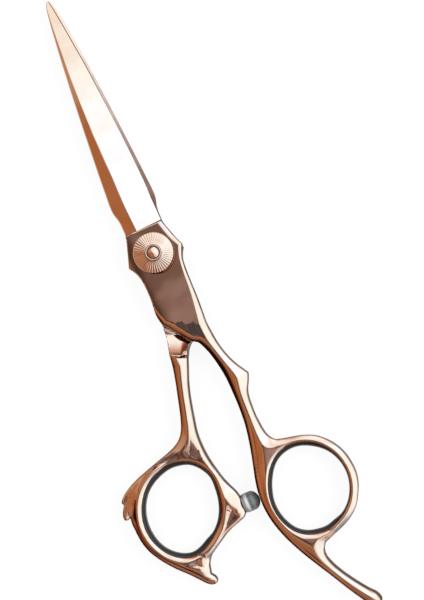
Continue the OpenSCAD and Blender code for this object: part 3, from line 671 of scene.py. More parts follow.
FINGER_RIGHT_EDGE = [
    (10, 2.45, 0.2, SLOPE), (-4, 2.4, 0.25, SLOPE), (-11, 2.25, 0.35, SLOPE), (-15, 2.1, 0.38, SLOPE),
    (-18, 2.0, 0.4, SLOPE), (-24, 1.8, 0.4, SLOPE), (-28, 1.65, 0.42, SLOPE), (-34, 1.5, 0.42, SLOPE),
    (-37.2, 1.25, 0.42, SLOPE), (-41, 1.4, 0.45, SLOPE), (-46, 1.5, 0.45, SLOPE), (-51, 1.55, 0.45, SLOPE),
    (-55, 1.7, 0.42, SLOPE), (-60, 1.95, 0.4, SLOPE), (-78, 1.95, 0.4, SLOPE), (-83, 1.8, 0.42, SLOPE),
    (-87, 1.35, 0.6, SLOPE), (-91, 1.1, 0.8, SLOPE), (-105, 1.0, 0.8, SLOPE),
]
# Rows of y, distance of a scored line from the left edge and its depth
FINGER_SCORE = [
    (-46, 1.3, 0), (-52, 1.25, 0.07), (-60, 1.2, 0.08), (-68, 1.2, 0), (-78, 1.0, 0), (-88, 0.95, 0.1),
    (-96, 0.85, 0.1), (-102, 0.8, 0),
]
# Rows of angle, place of the lip, its height, place of the crest, and drop of the metal outside it
FINGER_RIM = [
    (0, -0.55, 2.35, 0.15, 0), (30, -0.45, 2.35, 0.15, 0), (60, -0.35, 2.3, 0.2, 0), (90, -0.2, 2.2, 0.45, 0),
    (105, -0.1, 2.15, 0.7, 0), (120, -0.2, 2.1, 0.6, 0.1), (135, -0.35, 2.1, 0.45, 0.16),
    (150, -0.5, 2.1, 0.3, 0.16), (165, -0.4, 2.1, 0.3, 0.16), (180, -0.2, 2.1, 0.35, 0.14),
    (195, 0.05, 2.1, 0.5, 0.1), (210, 0.3, 2.05, 0.8, 0.05), (225, 0.5, 2.0, 1.3, 0),
    (240, 0.5, 1.95, 1.7, 0), (255, 0.15, 2.0, 1.6, 0), (270, -0.1, 2.1, 0.9, 0), (285, -0.45, 2.3, 0.2, 0),
    (300, -0.6, 2.35, 0.1, 0), (330, -0.6, 2.35, 0.1, 0),
]
finger_left_count = len(smooth_line(finger_left, closed=False))
finger_lip = ring_line(FINGER_RING, [row[:2] for row in FINGER_RIM])
print("finger ring's lip:", len(finger_lip), "points")

# %% Finger forging
# Rows of y and height of the flat top, whose lower end runs askew and a little wavy from the grinding
FINGER_TOP = [(10, 2.65), (-19.2, 2.65), (-27, 2.42), (-30, 2.34), (-33, 2.4), (-36, 2.6), (-40, 3.5)]
TOP_MOST, TOP_SKEW, SKEW_END, SKEW_BEYOND = 2.9, 0.53, -30, 4
TOP_WAVES = [(0.3, 2.3), (0.15, 5.2)]
TOP_ROUND = [(-4, 0.12), (2, 0.4)]
PLATE_CROWN, CROWN_START = 0.01, -1.0
FORGING_LOW, FORGING_HIGH, FORGING_END, MARGIN = -0.6, 6.4, 8.6, 0.8


def ring_hollow(ring, rows):
    """Line of a hollow from rows of angle, distance out from the hole's wall, floor height and half width."""
    return [(*on_ring(ring, angle, out), z, half) for angle, out, z, half in rows]


FINGER_HOLLOW_SLOPE, FINGER_HOLLOW_ROUND = 0.45, 0.3
FINGER_HOLLOW = ring_hollow(FINGER_RING, [(257, 3.3, 2.6, 0.03), (258, 2.6, 2.4, 0.08), (264, 1.8, 2.4, 0.05),
                                          (272, 1.2, 2.5, 0.02)])


def finger_columns(xy):
    """Heights and distances over plan points that the finger forging is made of."""
    x, y = xy.T
    depth, roof = roof_over(finger_line, finger_left_count, FINGER_LEFT_EDGE, FINGER_RIGHT_EDGE,
                            FINGER_SCORE, xy)
    lip = -depth_in(finger_lip, xy)[0]
    skewed = y + TOP_SKEW * np.where(y > SKEW_END, x, SKEW_BEYOND)
    for height, rate in TOP_WAVES:
        skewed = skewed + height * np.sin(rate * x)
    top = look_up(FINGER_TOP, skewed)[0] - PLATE_CROWN * np.maximum(CROWN_START - x, 0) ** 2
    roof = soft_min(roof, np.minimum(top, TOP_MOST), look_up(TOP_ROUND, y)[0])
    roof = with_rim(roof, FINGER_RING, FINGER_RIM, lip, xy)
    roof = hollow(roof, xy, FINGER_HOLLOW, FINGER_HOLLOW_SLOPE, FINGER_HOLLOW_ROUND)
    r = np.hypot(x, y)
    return {"depth": depth, "lip": lip, "roof": roof, "rise": knuckle(r), "r": r,
            "other": depth_in(thumb_plate, xy)[0], "y": y}


def finger_solid(c, z):
    body = walled(c, z)
    body = np.maximum(body, (FRONT_FACE - c["rise"]) - z)
    body = np.maximum(body, np.minimum(FRONT_FACE - z, c["other"] + LAP_CLEAR))
    body = with_plate_end(body, c, FRONT_TOP - z)
    return np.maximum(body, BUSH_HOLE_R - c["r"])


def forging(line, columns, solid):
    """Surface of a half from its outline, up to the end of its plate."""
    low, high = line.min(0) - MARGIN, line.max(0) + MARGIN
    return surface_of(columns, solid, (*low, FORGING_LOW), (high[0], FORGING_END, FORGING_HIGH))


finger_forging = forging(finger_line, finger_columns, finger_solid)
print("finger forging:", len(finger_forging[0]), "points,", len(finger_forging[1]), "faces")

# %% [markdown]
# ## The thumb half
# The thumb half is made the same way and turned over at the lap, so its plate lies underneath. Its ring has
# a groove beside the feather, and its boss ends in a flat face for the bumper. Its knuckle is cut straight
# across the shank and turns up into a wall beside the finger half, so its rise is measured along the shank.

# %% Edges and rim of the thumb half
# The same rows as for the finger half
THUMB_LEFT_EDGE = [
    (10, 2.5, 0.15, SLOPE), (-14, 2.5, 0.1, SLOPE), (-20, 2.6, 0.03, SLOPE), (-25.6, 2.6, 0.03, SLOPE),
    (-28.6, 1.65, 0.38, SLOPE), (-42, 1.6, 0.4, SLOPE), (-47, 1.6, 0.4, SLOPE), (-49, 1.7, 0.36, 0.3),
    (-51, 1.85, 0.32, 0.25), (-52.2, 1.8, 0.32, 0.22), (-53.4, 1.55, 0.36, 0.22), (-59.4, 1.5, 0.36, 0.22),
    (-61, 1.68, 0.36, 0.28), (-64, 1.78, 0.39, 0.3), (-70, 1.82, 0.42, SLOPE), (-75, 1.8, 0.4, SLOPE),
    (-79, 1.6, 0.38, SLOPE), (-84, 1.15, 0.35, SLOPE),
]
THUMB_RIGHT_EDGE = [
    (10, 2.5, 0.15, SLOPE), (-14, 2.5, 0.1, SLOPE), (-20, 2.6, 0.03, SLOPE), (-27, 2.6, 0.03, SLOPE),
    (-27.8, 1.55, 0.5, SLOPE), (-32, 1.5, 0.55, SLOPE), (-42, 1.45, 0.6, SLOPE), (-47, 1.55, 0.6, SLOPE),
    (-52, 1.7, 0.6, SLOPE), (-56, 1.7, 0.6, 0.32), (-60, 1.7, 0.55, 0.27), (-64, 1.65, 0.45, 0.27),
    (-69.5, 1.6, 0.45, 0.27), (-70.8, 1.8, 0.5, 0.03), (-73.6, 1.8, 0.5, 0.03), (-76, 1.7, 0.42, SLOPE),
    (-79, 1.5, 0.4, SLOPE), (-84, 1.1, 0.35, SLOPE),
]
THUMB_SCORE = [
    (-68, 0.8, 0), (-71, 0.85, 0.1), (-75, 0.9, 0.15), (-79, 0.95, 0.16), (-82, 0.9, 0.12), (-84, 0.8, 0),
]
THUMB_RIM = [
    (0, -0.3, 2.1, 1.2, 0), (15, 0.2, 2.0, 1.35, 0), (30, 0.85, 1.9, 1.85, 0), (45, 1.0, 1.9, 1.95, 0),
    (60, 0.9, 1.95, 1.9, 0), (75, 0.5, 2.0, 1.0, 0.05), (90, 0, 2.05, 0.5, 0.1), (105, -0.5, 2.05, 0.3, 0.12),
    (120, -0.75, 2.05, 0.3, 0.2), (140, -0.9, 2.0, 0.35, 0.4), (160, -0.9, 1.95, 0.45, 0.36),
    (172, -0.8, 1.95, 0.5, 0.15), (180, -0.7, 1.95, 0.6, 0.1), (200, -0.5, 1.95, 0.7, 0.1),
    (225, -0.35, 1.95, 0.85, 0.1), (240, -0.15, 1.9, 1.1, 0.05), (255, 0, 1.85, 1.4, 0),
    (265, 0, 1.9, 1.3, 0), (275, -0.15, 1.95, 1.1, 0), (285, -0.4, 1.9, 1.1, 0), (300, -0.8, 1.8, 0.6, 0),
    (315, -0.9, 1.8, 0.5, 0), (330, -0.6, 1.85, 0.8, 0), (345, -0.4, 2.0, 1.1, 0),
]
thumb_left_count = len(smooth_line(thumb_left, closed=False))
thumb_lip = ring_line(THUMB_RING, [row[:2] for row in THUMB_RIM])
print("thumb ring's lip:", len(thumb_lip), "points")

# %% Thumb forging
THUMB_TOP, THUMB_TOP_ROUND = [(-26, 2.9), (-22, 2.65)], 0.15
# Hollows above the ring, beside its tail and beside the bumper's boss, each with its slope
THUMB_HOLLOWS = [
    ([(-9.0, -42, 2.85, 0.02), (-9.4, -45.5, 2.6, 0.3), (-9.9, -48.5, 2.38, 0.9), (-10.6, -50.2, 2.28, 1.2)],
     0.22),
    (ring_hollow(THUMB_RING, [(245, 1.9, 2.7, 0.02), (262, 2.2, 2.45, 0.1), (272, 2.3, 2.2, 0.22),
                              (277, 3.4, 2.4, 0.1), (279, 5, 2.6, 0.02)]), 0.35),
    (ring_hollow(THUMB_RING, [(347, 4.0, 2.6, 0.1), (344, 2.8, 2.2, 0.6), (338, 2.0, 2.15, 0.5),
                              (331, 1.4, 2.2, 0.2)]), 0.3),
]
THUMB_HOLLOW_ROUND = 0.4
SHANK_TURN, THUMB_CREASE = math.radians(23.5), 20.7
WALL_SLOPE, WALL_START, WALL_BEND = 0.5, 6.6, 0.8
LEAD, LEAD_GAP, LEAD_RUN, LEAD_BELOW = math.tan(math.radians(7)), 0.5, 2, -15


def thumb_rise(x, y, other):
    """Rise of the thumb shank out of the lap, from the depth inside the finger half's plate."""
    across = x * math.cos(SHANK_TURN) - y * math.sin(SHANK_TURN)
    along = -x * math.sin(SHANK_TURN) - y * math.cos(SHANK_TURN)
    past = np.maximum(across - WALL_START, 0)
    wall = np.where(past < WALL_BEND, past ** 2 / (2 * WALL_BEND), past - WALL_BEND / 2)
    rise = knuckle(KNUCKLE_R + along - THUMB_CREASE + WALL_SLOPE * wall)
    outside = np.maximum(-other - LEAD_GAP, 0)
    return rise + LEAD_RUN * LEAD * (1 - np.exp(-outside / LEAD_RUN)) * (y < LEAD_BELOW)


def thumb_columns(xy):
    """Heights and distances over plan points that the thumb forging is made of."""
    x, y = xy.T
    depth, roof = roof_over(thumb_line, thumb_left_count, THUMB_LEFT_EDGE, THUMB_RIGHT_EDGE, THUMB_SCORE, xy)
    lip = -depth_in(thumb_lip, xy)[0]
    roof = soft_min(roof, look_up(THUMB_TOP, y)[0], THUMB_TOP_ROUND)
    roof = with_rim(roof, THUMB_RING, THUMB_RIM, lip, xy)
    for line, slope in THUMB_HOLLOWS:
        roof = hollow(roof, xy, line, slope, THUMB_HOLLOW_ROUND)
    other = depth_in(finger_plate, xy)[0]
    return {"depth": depth, "lip": lip, "roof": roof, "rise": thumb_rise(x, y, other), "r": np.hypot(x, y),
            "other": other, "y": y}


def thumb_solid(c, z):
    body = walled(c, z)
    body = np.maximum(body, z - (REAR_FACE + c["rise"]))
    body = soft_max(body, np.minimum(z - REAR_FACE, c["other"] + LAP_CLEAR), WALL_ROUND)
    body = with_plate_end(body, c, z - REAR_BACK)
    body = np.maximum(body, np.minimum(HEAD_R - c["r"], HEAD_POCKET_Z - z))
    body = np.maximum(body, np.minimum(WASHER_R - c["r"], z - (REAR_FACE - WASHER_T)))
    return np.maximum(body, BOLT_HOLE_R - c["r"])


thumb_forging = forging(thumb_line, thumb_columns, thumb_solid)
print("thumb forging:", len(thumb_forging[0]), "points,", len(thumb_forging[1]), "faces")

# %% [markdown]
# ## The blades
# A hair blade is ground to a wide facet that runs to the cutting edge and a narrow one along the spine, with
# a crisp ridge between them. The edge is then honed, which leaves a thin strip that is steeper than the facet
# and reads as a dark line. A blade is a loft: one section at each station, all with the same corners. Crisp
# facets want their own normals, so each strip between two corners carries the normal of its own surface.

# %% Blade stations
BLADE_LEN, BLADE_TOP, BLADE_W = 71.5, 7.2, 10.8
# Share of the way from plate to tip, then spine, ridge and edge as shares of the width
BLADE_ROWS = [
    (0.00, 0.480, 0.190, 0.455), (0.05, 0.485, 0.205, 0.450), (0.11, 0.555, 0.220, 0.440),
    (0.20, 0.530, 0.220, 0.425), (0.36, 0.460, 0.230, 0.380), (0.52, 0.385, 0.220, 0.315),
    (0.67, 0.305, 0.195, 0.255), (0.82, 0.215, 0.145, 0.160), (0.92, 0.145, 0.105, 0.090),
    (0.98, 0.085, 0.065, 0.040), (1.00, 0.040, 0.030, 0.010),
]
# Share of the way, and width of the honed strip along the cutting edge
HONED = [(0, 0.22), (0.1, 0.22), (0.15, 0.06), (0.5, 0.06), (0.64, 0.2), (1, 0.2)]


def blade_curve(column, shares):
    """A smooth curve through one column of the stations."""
    rows = [(r[0], r[column]) for r in BLADE_ROWS]
    line = smooth_line(rows, step=0.004, closed=False)
    return np.interp(shares, line[:, 0], line[:, 1])


# The first station lies a little inside the plate, and the stations are closer at the tip
shares = np.concatenate([np.linspace(-0.012, 0.9, 110), np.linspace(0.905, 1, 20)])
held = np.clip(shares, 0, 1)
blade_y = BLADE_TOP + shares * (BLADE_LEN - BLADE_TOP)
print("blade stations:", len(shares))

# %% Blade loft
EDGE_T, FACET, SPINE_FACET = 0.15, math.tan(math.radians(19)), math.tan(math.radians(16))
RIDGE_HALF, SPINE_BREAK, BREAK_SLOPE = 0.1, 0.22, 0.8
RIDGE_SHARE, BREAK_SHARE, HONED_SHARE = 0.2, 0.3, 0.2
BLADE_GAP, REAR_INSET = 0.01, 0.4


def blade(inset):
    """Points, faces and corner normals of the front blade, with its spine set in at the plate."""
    spine = -blade_curve(1, held) * BLADE_W + inset * (1 - held)
    ridge = -blade_curve(2, held) * BLADE_W
    edge = blade_curve(3, held) * BLADE_W
    foot = np.full(len(held), BLADE_GAP)
    ridge_z = EDGE_T + (edge - ridge) * FACET
    spine_z = ridge_z - (ridge - spine) * SPINE_FACET
    half = np.minimum(RIDGE_HALF, RIDGE_SHARE * (ridge - spine))
    cut = np.minimum(SPINE_BREAK, BREAK_SHARE * (ridge - spine))
    honed = np.minimum(look_up(HONED, held)[0], HONED_SHARE * (edge - ridge))
    honed_z = EDGE_T + honed * FACET
    section = [
        (spine, foot), (edge, foot), (edge, honed_z - honed * STEEP), (edge - honed, honed_z),
        (ridge + half, ridge_z - half * FACET), (ridge - half, ridge_z - half * SPINE_FACET),
        (spine + cut, spine_z + cut * SPINE_FACET), (spine, spine_z - cut * BREAK_SLOPE),
    ]
    points = np.stack([np.stack([x, blade_y, FRONT_FACE + z], 1) for x, z in section], 1)
    rows, m = points.shape[:2]
    run = np.gradient(points, axis=0)
    faces, normals = [], []
    for k in range(m):
        j = (k + 1) % m
        across = points[:, j] - points[:, k]
        n = np.cross(across, run[:, k] + run[:, j])
        n /= np.maximum(np.linalg.norm(n, axis=1), 1e-9)[:, None]
        for i in range(rows - 1):
            faces.append((i * m + k, i * m + j, (i + 1) * m + j, (i + 1) * m + k))
            normals.extend((n[i], n[i], n[i + 1], n[i + 1]))
    for i, ring in ((0, range(m - 1, -1, -1)), (rows - 1, range(m))):
        faces.append(tuple(i * m + k for k in ring))
        normals.extend([(0, -1 if i == 0 else 1, 0)] * m)
    return points.reshape(-1, 3), faces, np.array(normals)


def turned_over(points, normals):
    """The thumb half's side of the lap."""
    flip = np.array([-1, 1, -1])
    return points * flip + np.array([0, 0, 2 * Z_MID]), normals * flip


def half_piece(name, forging, blade_parts):
    """One half as a single piece: forging and blade with their corner normals."""
    points, quads, point_normals = forging
    blade_points, blade_faces, blade_normals = blade_parts
    faces = list(quads) + [tuple(i + len(points) for i in f) for f in blade_faces]
    normals = np.concatenate([point_normals[quads.ravel()], blade_normals])
    return piece_from(name, np.concatenate([points, blade_points]), faces, normals)


finger_piece = half_piece("finger_shear", finger_forging, blade(0))
rear_points, rear_faces, rear_normals = blade(REAR_INSET)
rear_points, rear_normals = turned_over(rear_points, rear_normals)
thumb_piece = half_piece("thumb_shear", thumb_forging, (rear_points, rear_faces, rear_normals))
print("halves:", len(finger_piece.data.polygons), "and", len(thumb_piece.data.polygons), "faces")

# %% [markdown]
# ## Rubber rings in the handles
# Each ring holds a rubber insert whose inner side bulges a little, so that the metal's lip covers its edge.
# It is one section carried round the oval, smooth enough to shade without corners.

# %% Finger and thumb inserts
# Rows of angle round the hole, and distance of the grip out from the hole's wall
FINGER_GRIP = [
    (0, -0.85), (30, -1.05), (60, -1.4), (90, -1.2), (120, -1.1), (150, -1.4), (165, -1.3), (180, -1.0),
    (210, -0.55), (225, -0.35), (240, -0.5), (255, -0.9), (270, -1.1), (285, -1.4), (300, -1.15),
    (330, -0.95),
]
THUMB_GRIP = [
    (0, -0.85), (15, -0.45), (30, 0.2), (45, 0.25), (60, 0.05), (75, -0.6), (90, -1.15), (105, -1.65),
    (120, -1.85), (140, -1.8), (160, -1.72), (180, -1.6), (200, -1.45), (225, -1.2), (240, -1.15),
    (255, -1.1), (270, -1.15), (285, -1.65), (300, -2.0), (315, -1.65), (330, -1.4), (345, -1.15),
]
# Share of the way from under the lip to the grip, and height
INSERT_SECTION = [
    (-0.25, -1.75), (0.05, -1.75), (0.5, -1.5), (0.8, -1.15), (0.95, -0.7), (1.0, 0), (0.95, 0.7),
    (0.8, 1.15), (0.5, 1.5), (0.05, 1.75), (-0.25, 1.75),
]
INSERT_STEPS, INSERT_SHARP = 160, math.radians(60)


def insert(name, ring, rim_rows, grip_rows):
    """Rubber ring between the metal's lip and the grip line."""
    m = len(INSERT_SECTION)
    turns = np.arange(INSERT_STEPS) * 360 / INSERT_STEPS
    outs = []
    for rows in ([row[:2] for row in rim_rows], grip_rows):
        thrice = [(angle + turn, out) for turn in (-360, 0, 360) for angle, out in rows]
        table = smooth_line(thrice, step=2, closed=False)
        outs.append(np.interp(turns, table[:, 0], table[:, 1]))
    points = [(*on_ring(ring, a, lip + (grip - lip) * share), Z_MID + z)
              for a, lip, grip in zip(turns, *outs) for share, z in INSERT_SECTION]
    faces = []
    for i in range(INSERT_STEPS):
        j = (i + 1) % INSERT_STEPS
        faces += [(i * m + k, i * m + (k + 1) % m, j * m + (k + 1) % m, j * m + k) for k in range(m)]
    made = piece_from(name, points, faces)
    made.data.set_sharp_from_angle(angle=INSERT_SHARP)
    return made


finger_rubber = insert("finger_rubber", FINGER_RING, FINGER_RIM, FINGER_GRIP)
thumb_rubber = insert("thumb_rubber", THUMB_RING, THUMB_RIM, THUMB_GRIP)
print("inserts:", len(finger_rubber.data.polygons), "faces each")

# %% [markdown]
# ## Turned pieces
# Bolt, hub, bumper and stud come off a lathe, so each is a profile carried round an axis. The dial is one
# too, but its top is cut by flutes: its height also depends on the angle.

# %% Lathe
def lathe(name, profile, steps=96, height=None, axis="z", at=(0, 0, 0), sharp=35):
    """Profile rows of radius and height carried round an axis. `height(r, z, angle)` may cut the surface."""
    angles = np.arange(steps) * 2 * math.pi / steps
    points = []
    for r, z in profile:
        for a in angles:
            h = z if height is None else height(r, z, a)
            points.append((r * math.cos(a), r * math.sin(a), h))
    faces = []
    for i in range(len(profile) - 1):
        for k in range(steps):
            j = (k + 1) % steps
            faces.append((i * steps + k, i * steps + j, (i + 1) * steps + j, (i + 1) * steps + k))
    for i, order in ((0, range(steps - 1, -1, -1)), (len(profile) - 1, range(steps))):
        faces.append(tuple(i * steps + k for k in order))
    points = np.array(points)
    if axis == "x":
        points = points[:, [2, 0, 1]]
    made = piece_from(name, points + np.array(at), faces)
    made.data.set_sharp_from_angle(angle=math.radians(sharp))
    return made


print("lathe ready")

# %% Dial, hub and bolt
DIAL_Z, DIAL_R, HUB_R, HUB_GAP = 5.99, 5.25, 2.1, 0.02
RIM_TOP, CONE_TOP, RIM_BREAK, RIM_SHOULDER = 7.86, 8.49, 0.15, 0.12
FLUTES, FLUTE_DEPTH, FLUTE_START, FLUTE_LEAD, FLUTE_POINTS = 44, 0.045, 2.2, 0.3, 8


def cone(r):
    """Height of the dial's sloping top."""
    return CONE_TOP - (CONE_TOP - RIM_TOP) * (r - FLUTE_START) / (DIAL_R - RIM_BREAK - FLUTE_START)


def fluted(r, z, a):
    """Cuts narrow radial grooves into the dial's sloping top."""
    if z < RIM_TOP - RIM_SHOULDER or r < FLUTE_START:
        return z
    wave = abs((a * FLUTES / (2 * math.pi)) % 1 - 0.5) * 2
    return z - FLUTE_DEPTH * min(1.0, (r - FLUTE_START) / FLUTE_LEAD) * max(0.0, 2 * wave - 1)


dial_profile = [
    (HUB_R + HUB_GAP, 7.2), (4.35, 7.2), (4.35, DIAL_Z), (5.0, DIAL_Z), (5.2, DIAL_Z + 0.08),
    (DIAL_R, DIAL_Z + 0.3), (DIAL_R, RIM_TOP - 0.3), (DIAL_R - 0.03, RIM_TOP - RIM_SHOULDER),
    (DIAL_R - RIM_BREAK, RIM_TOP), *((r, cone(r)) for r in (4.4, 3.7, 3.1, FLUTE_START + FLUTE_LEAD)),
    (FLUTE_START, CONE_TOP), (HUB_R + HUB_GAP, CONE_TOP),
]
hub_profile = [
    (1.62, 7.16), (HUB_R, 7.16), (HUB_R, 8.48), (2.07, 8.6), (1.99, 8.68), (1.87, 8.71), (1.75, 8.68),
    (1.66, 8.6), (1.62, 8.48),
]
bolt_profile = [
    (3.6, 0.0), (4.3, 0.02), (4.46, 0.1), (4.5, 0.25), (4.5, 1.1), (2.5, 1.1), (2.5, 5.96), (2.0, 5.97),
    (2.0, 6.8), (1.56, 6.9), (1.56, 8.3), (1.47, 8.5), (1.42, 8.56), (1.0, 8.69), (0.5, 8.845), (0.12, 8.955),
    (0.03, 8.97),
]
dial = lathe("fluted_dial", dial_profile, steps=FLUTES * FLUTE_POINTS, height=fluted, sharp=30)
hub = lathe("dial_hub", hub_profile, sharp=60)
bolt = lathe("pivot_screw", bolt_profile, sharp=40)
print("dial faces:", len(dial.data.polygons))

# %% [markdown]
# ## The bumper
# A grey silicone cap stops the rings from knocking. It sits on a threaded stud in the thumb ring's boss, and
# the stud shows through it. Cap and stud are lathe work along the X axis.

# %% Bumper and its stud
CAP_R, CAP_DOME, CAP_GAP, CAP_BESIDE = 2.5, 1.9, 0.08, 1.5
THREAD_ROOT, THREAD_R, THREAD_START, THREAD_STEP, THREAD_ROWS = 0.92, 1.1, 0.05, 0.16, 13
bumper_low, bumper_high = [Vector(c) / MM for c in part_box("bumper")]
bumper_at = (bumper_low.x, (bumper_low.y + bumper_high.y) / 2, (bumper_low.z + bumper_high.z) / 2)
ring_beside = finger_line[np.abs(finger_line[:, 1] - bumper_at[1]) < CAP_BESIDE, 0].min()
reach = ring_beside - CAP_GAP - bumper_low.x
print("bumper cap", round(reach, 2), "mm long, solid", round(bumper_high.x - bumper_low.x, 2), "mm")
cap_neck = [(0.3, 0.42), (2.1, 0.42), (2.28, 0.48), (2.35, 0.6), (2.35, 0.85), (2.45, 1.05), (CAP_R, 1.35),
            (CAP_R, reach - 2.3)]
cap_dome = [(CAP_R * math.cos(a), reach - CAP_DOME + CAP_DOME * math.sin(a)) for a in np.linspace(0, 1.5, 10)]
thread = [(THREAD_R if i % 2 else THREAD_ROOT, THREAD_START + THREAD_STEP * i) for i in range(THREAD_ROWS)]
stud_foot = [(0.9, -2.3), (1.05, -0.1)]
stud_head = [(1.6, 2.2), (1.65, 2.35), (1.6, 2.75), (1.2, 2.85), (0.3, 2.9)]
cap = lathe("bumper_cap", cap_neck + cap_dome, axis="x", at=bumper_at, sharp=50)
stud = lathe("bumper_screw", stud_foot + thread + stud_head, steps=48, axis="x", at=bumper_at, sharp=30)
print("cap faces:", len(cap.data.polygons))

# %% [markdown]
# ## Finishes
# Three effects are shared, so each is a node group. Hairlines are the faint scratches that a polishing wheel
# leaves, long in one direction. Handling is the soft haze of fingers and cloths, in patches of a few
# millimetres. Flanks are the upright sides, found by their slope; materials paint them darker as shade, and
# the metals make them rougher too. All three put out masks, and each material decides what to do with them.

# %% Shared node groups
def new_group(name, output, **inputs):
    """Node group with one value out and values in, with the sockets of its two end nodes."""
    group = bpy.data.node_groups.new(name, "ShaderNodeTree")
    for title, value in inputs.items():
        socket = group.interface.new_socket(name=title, in_out="INPUT", socket_type="NodeSocketFloat")
        socket.default_value = value
    group.interface.new_socket(name=output, in_out="OUTPUT", socket_type="NodeSocketFloat")
    return group, group.nodes.new("NodeGroupInput").outputs, group.nodes.new("NodeGroupOutput").inputs


hairlines, given, result = new_group("polish_hairlines", "Lines", Across=9000.0, Along=120.0)
where = node(hairlines, "ShaderNodeTexCoord", (-900, 0))
stretch = node(hairlines, "ShaderNodeCombineXYZ", (-700, -250))
scaled = node(hairlines, "ShaderNodeVectorMath", (-480, 0), operation="MULTIPLY")
grain = node(hairlines, "ShaderNodeTexNoise", (-280, 0),
             inputs={"Scale": 1.0, "Detail": 3.0, "Roughness": 0.6})
link(hairlines, (where.outputs["Object"], scaled.inputs[0]), (given["Across"], stretch.inputs[0]),
     (given["Along"], stretch.inputs[1]), (given["Across"], stretch.inputs[2]),
     (stretch.outputs[0], scaled.inputs[1]), (scaled.outputs[0], grain.inputs["Vector"]),
     (grain.outputs["Fac"], result["Lines"]))

handling, given, result = new_group("handling_haze", "Haze", Patch=180.0, Detail=5.0, Low=0.45, High=0.75)
where = node(handling, "ShaderNodeTexCoord", (-900, 0))
cloud = node(handling, "ShaderNodeTexNoise", (-600, 0), inputs={"Roughness": 0.62})
pick = node(handling, "ShaderNodeMapRange", (-300, 0))
link(handling, (where.outputs["Object"], cloud.inputs["Vector"]), (given["Patch"], cloud.inputs["Scale"]),
     (given["Detail"], cloud.inputs["Detail"]), (cloud.outputs["Fac"], pick.inputs["Value"]),
     (given["Low"], pick.inputs["From Min"]), (given["High"], pick.inputs["From Max"]),
     (pick.outputs[0], result["Haze"]))

# Steep sides by the slope of the normal: the mask where materials paint shade, on darker metal flanks and cap
# edges
flanks, given, result = new_group("painted_flank_shade", "Flank", Low=0.5, High=0.76)
facing = node(flanks, "ShaderNodeNewGeometry", (-900, 0))
split = node(flanks, "ShaderNodeSeparateXYZ", (-700, 0))
size = node(flanks, "ShaderNodeMath", (-520, 0), operation="ABSOLUTE")
pick = node(flanks, "ShaderNodeMapRange", (-300, 0), inputs={"To Min": 1.0, "To Max": 0.0})
link(flanks, (facing.outputs["Normal"], split.inputs[0]), (split.outputs["Z"], size.inputs[0]),
     (size.outputs[0], pick.inputs["Value"]), (given["Low"], pick.inputs["From Min"]),
     (given["High"], pick.inputs["From Max"]), (pick.outputs[0], result["Flank"]))
print("groups:", hairlines.name, handling.name, flanks.name)

# %% [markdown]
# ## Rose-gold coated steel
# The steel is polished to a mirror and then coated, so the colour is that of the reflection itself: a metal
# with a warm base colour. The hairlines move the roughness a little and raise a very fine bump, the haze
# dulls it in patches, and a wide, shallow bump gives the slight waves of hand polishing. Steel and brass
# inside the pivot take the same finish with other values.

# %% Metals
# Tint at grazing angles: dark, painted shade that darkens the upright walls where they are seen at a slant
GRAZING_SHADE_TINT = (0.35, 0.3, 0.28)
WAVE_PATCH, WAVE_HEIGHT, LINE_HEIGHT = 150.0, 0.0001, 0.00002


def use_group(tree, group, place, **values):
    made = node(tree, "ShaderNodeGroup", place, node_tree=group)
    for name, value in values.items():
        made.inputs[name].default_value = value
    return made


def colour_mix(tree, place, **colours):
    """Mix of two colours, A and B, where those given here aren't linked."""
    made = node(tree, "ShaderNodeMix", place, data_type="RGBA")
    for name, colour in colours.items():
        made.inputs[name].default_value = (*colour, 1)
    return made


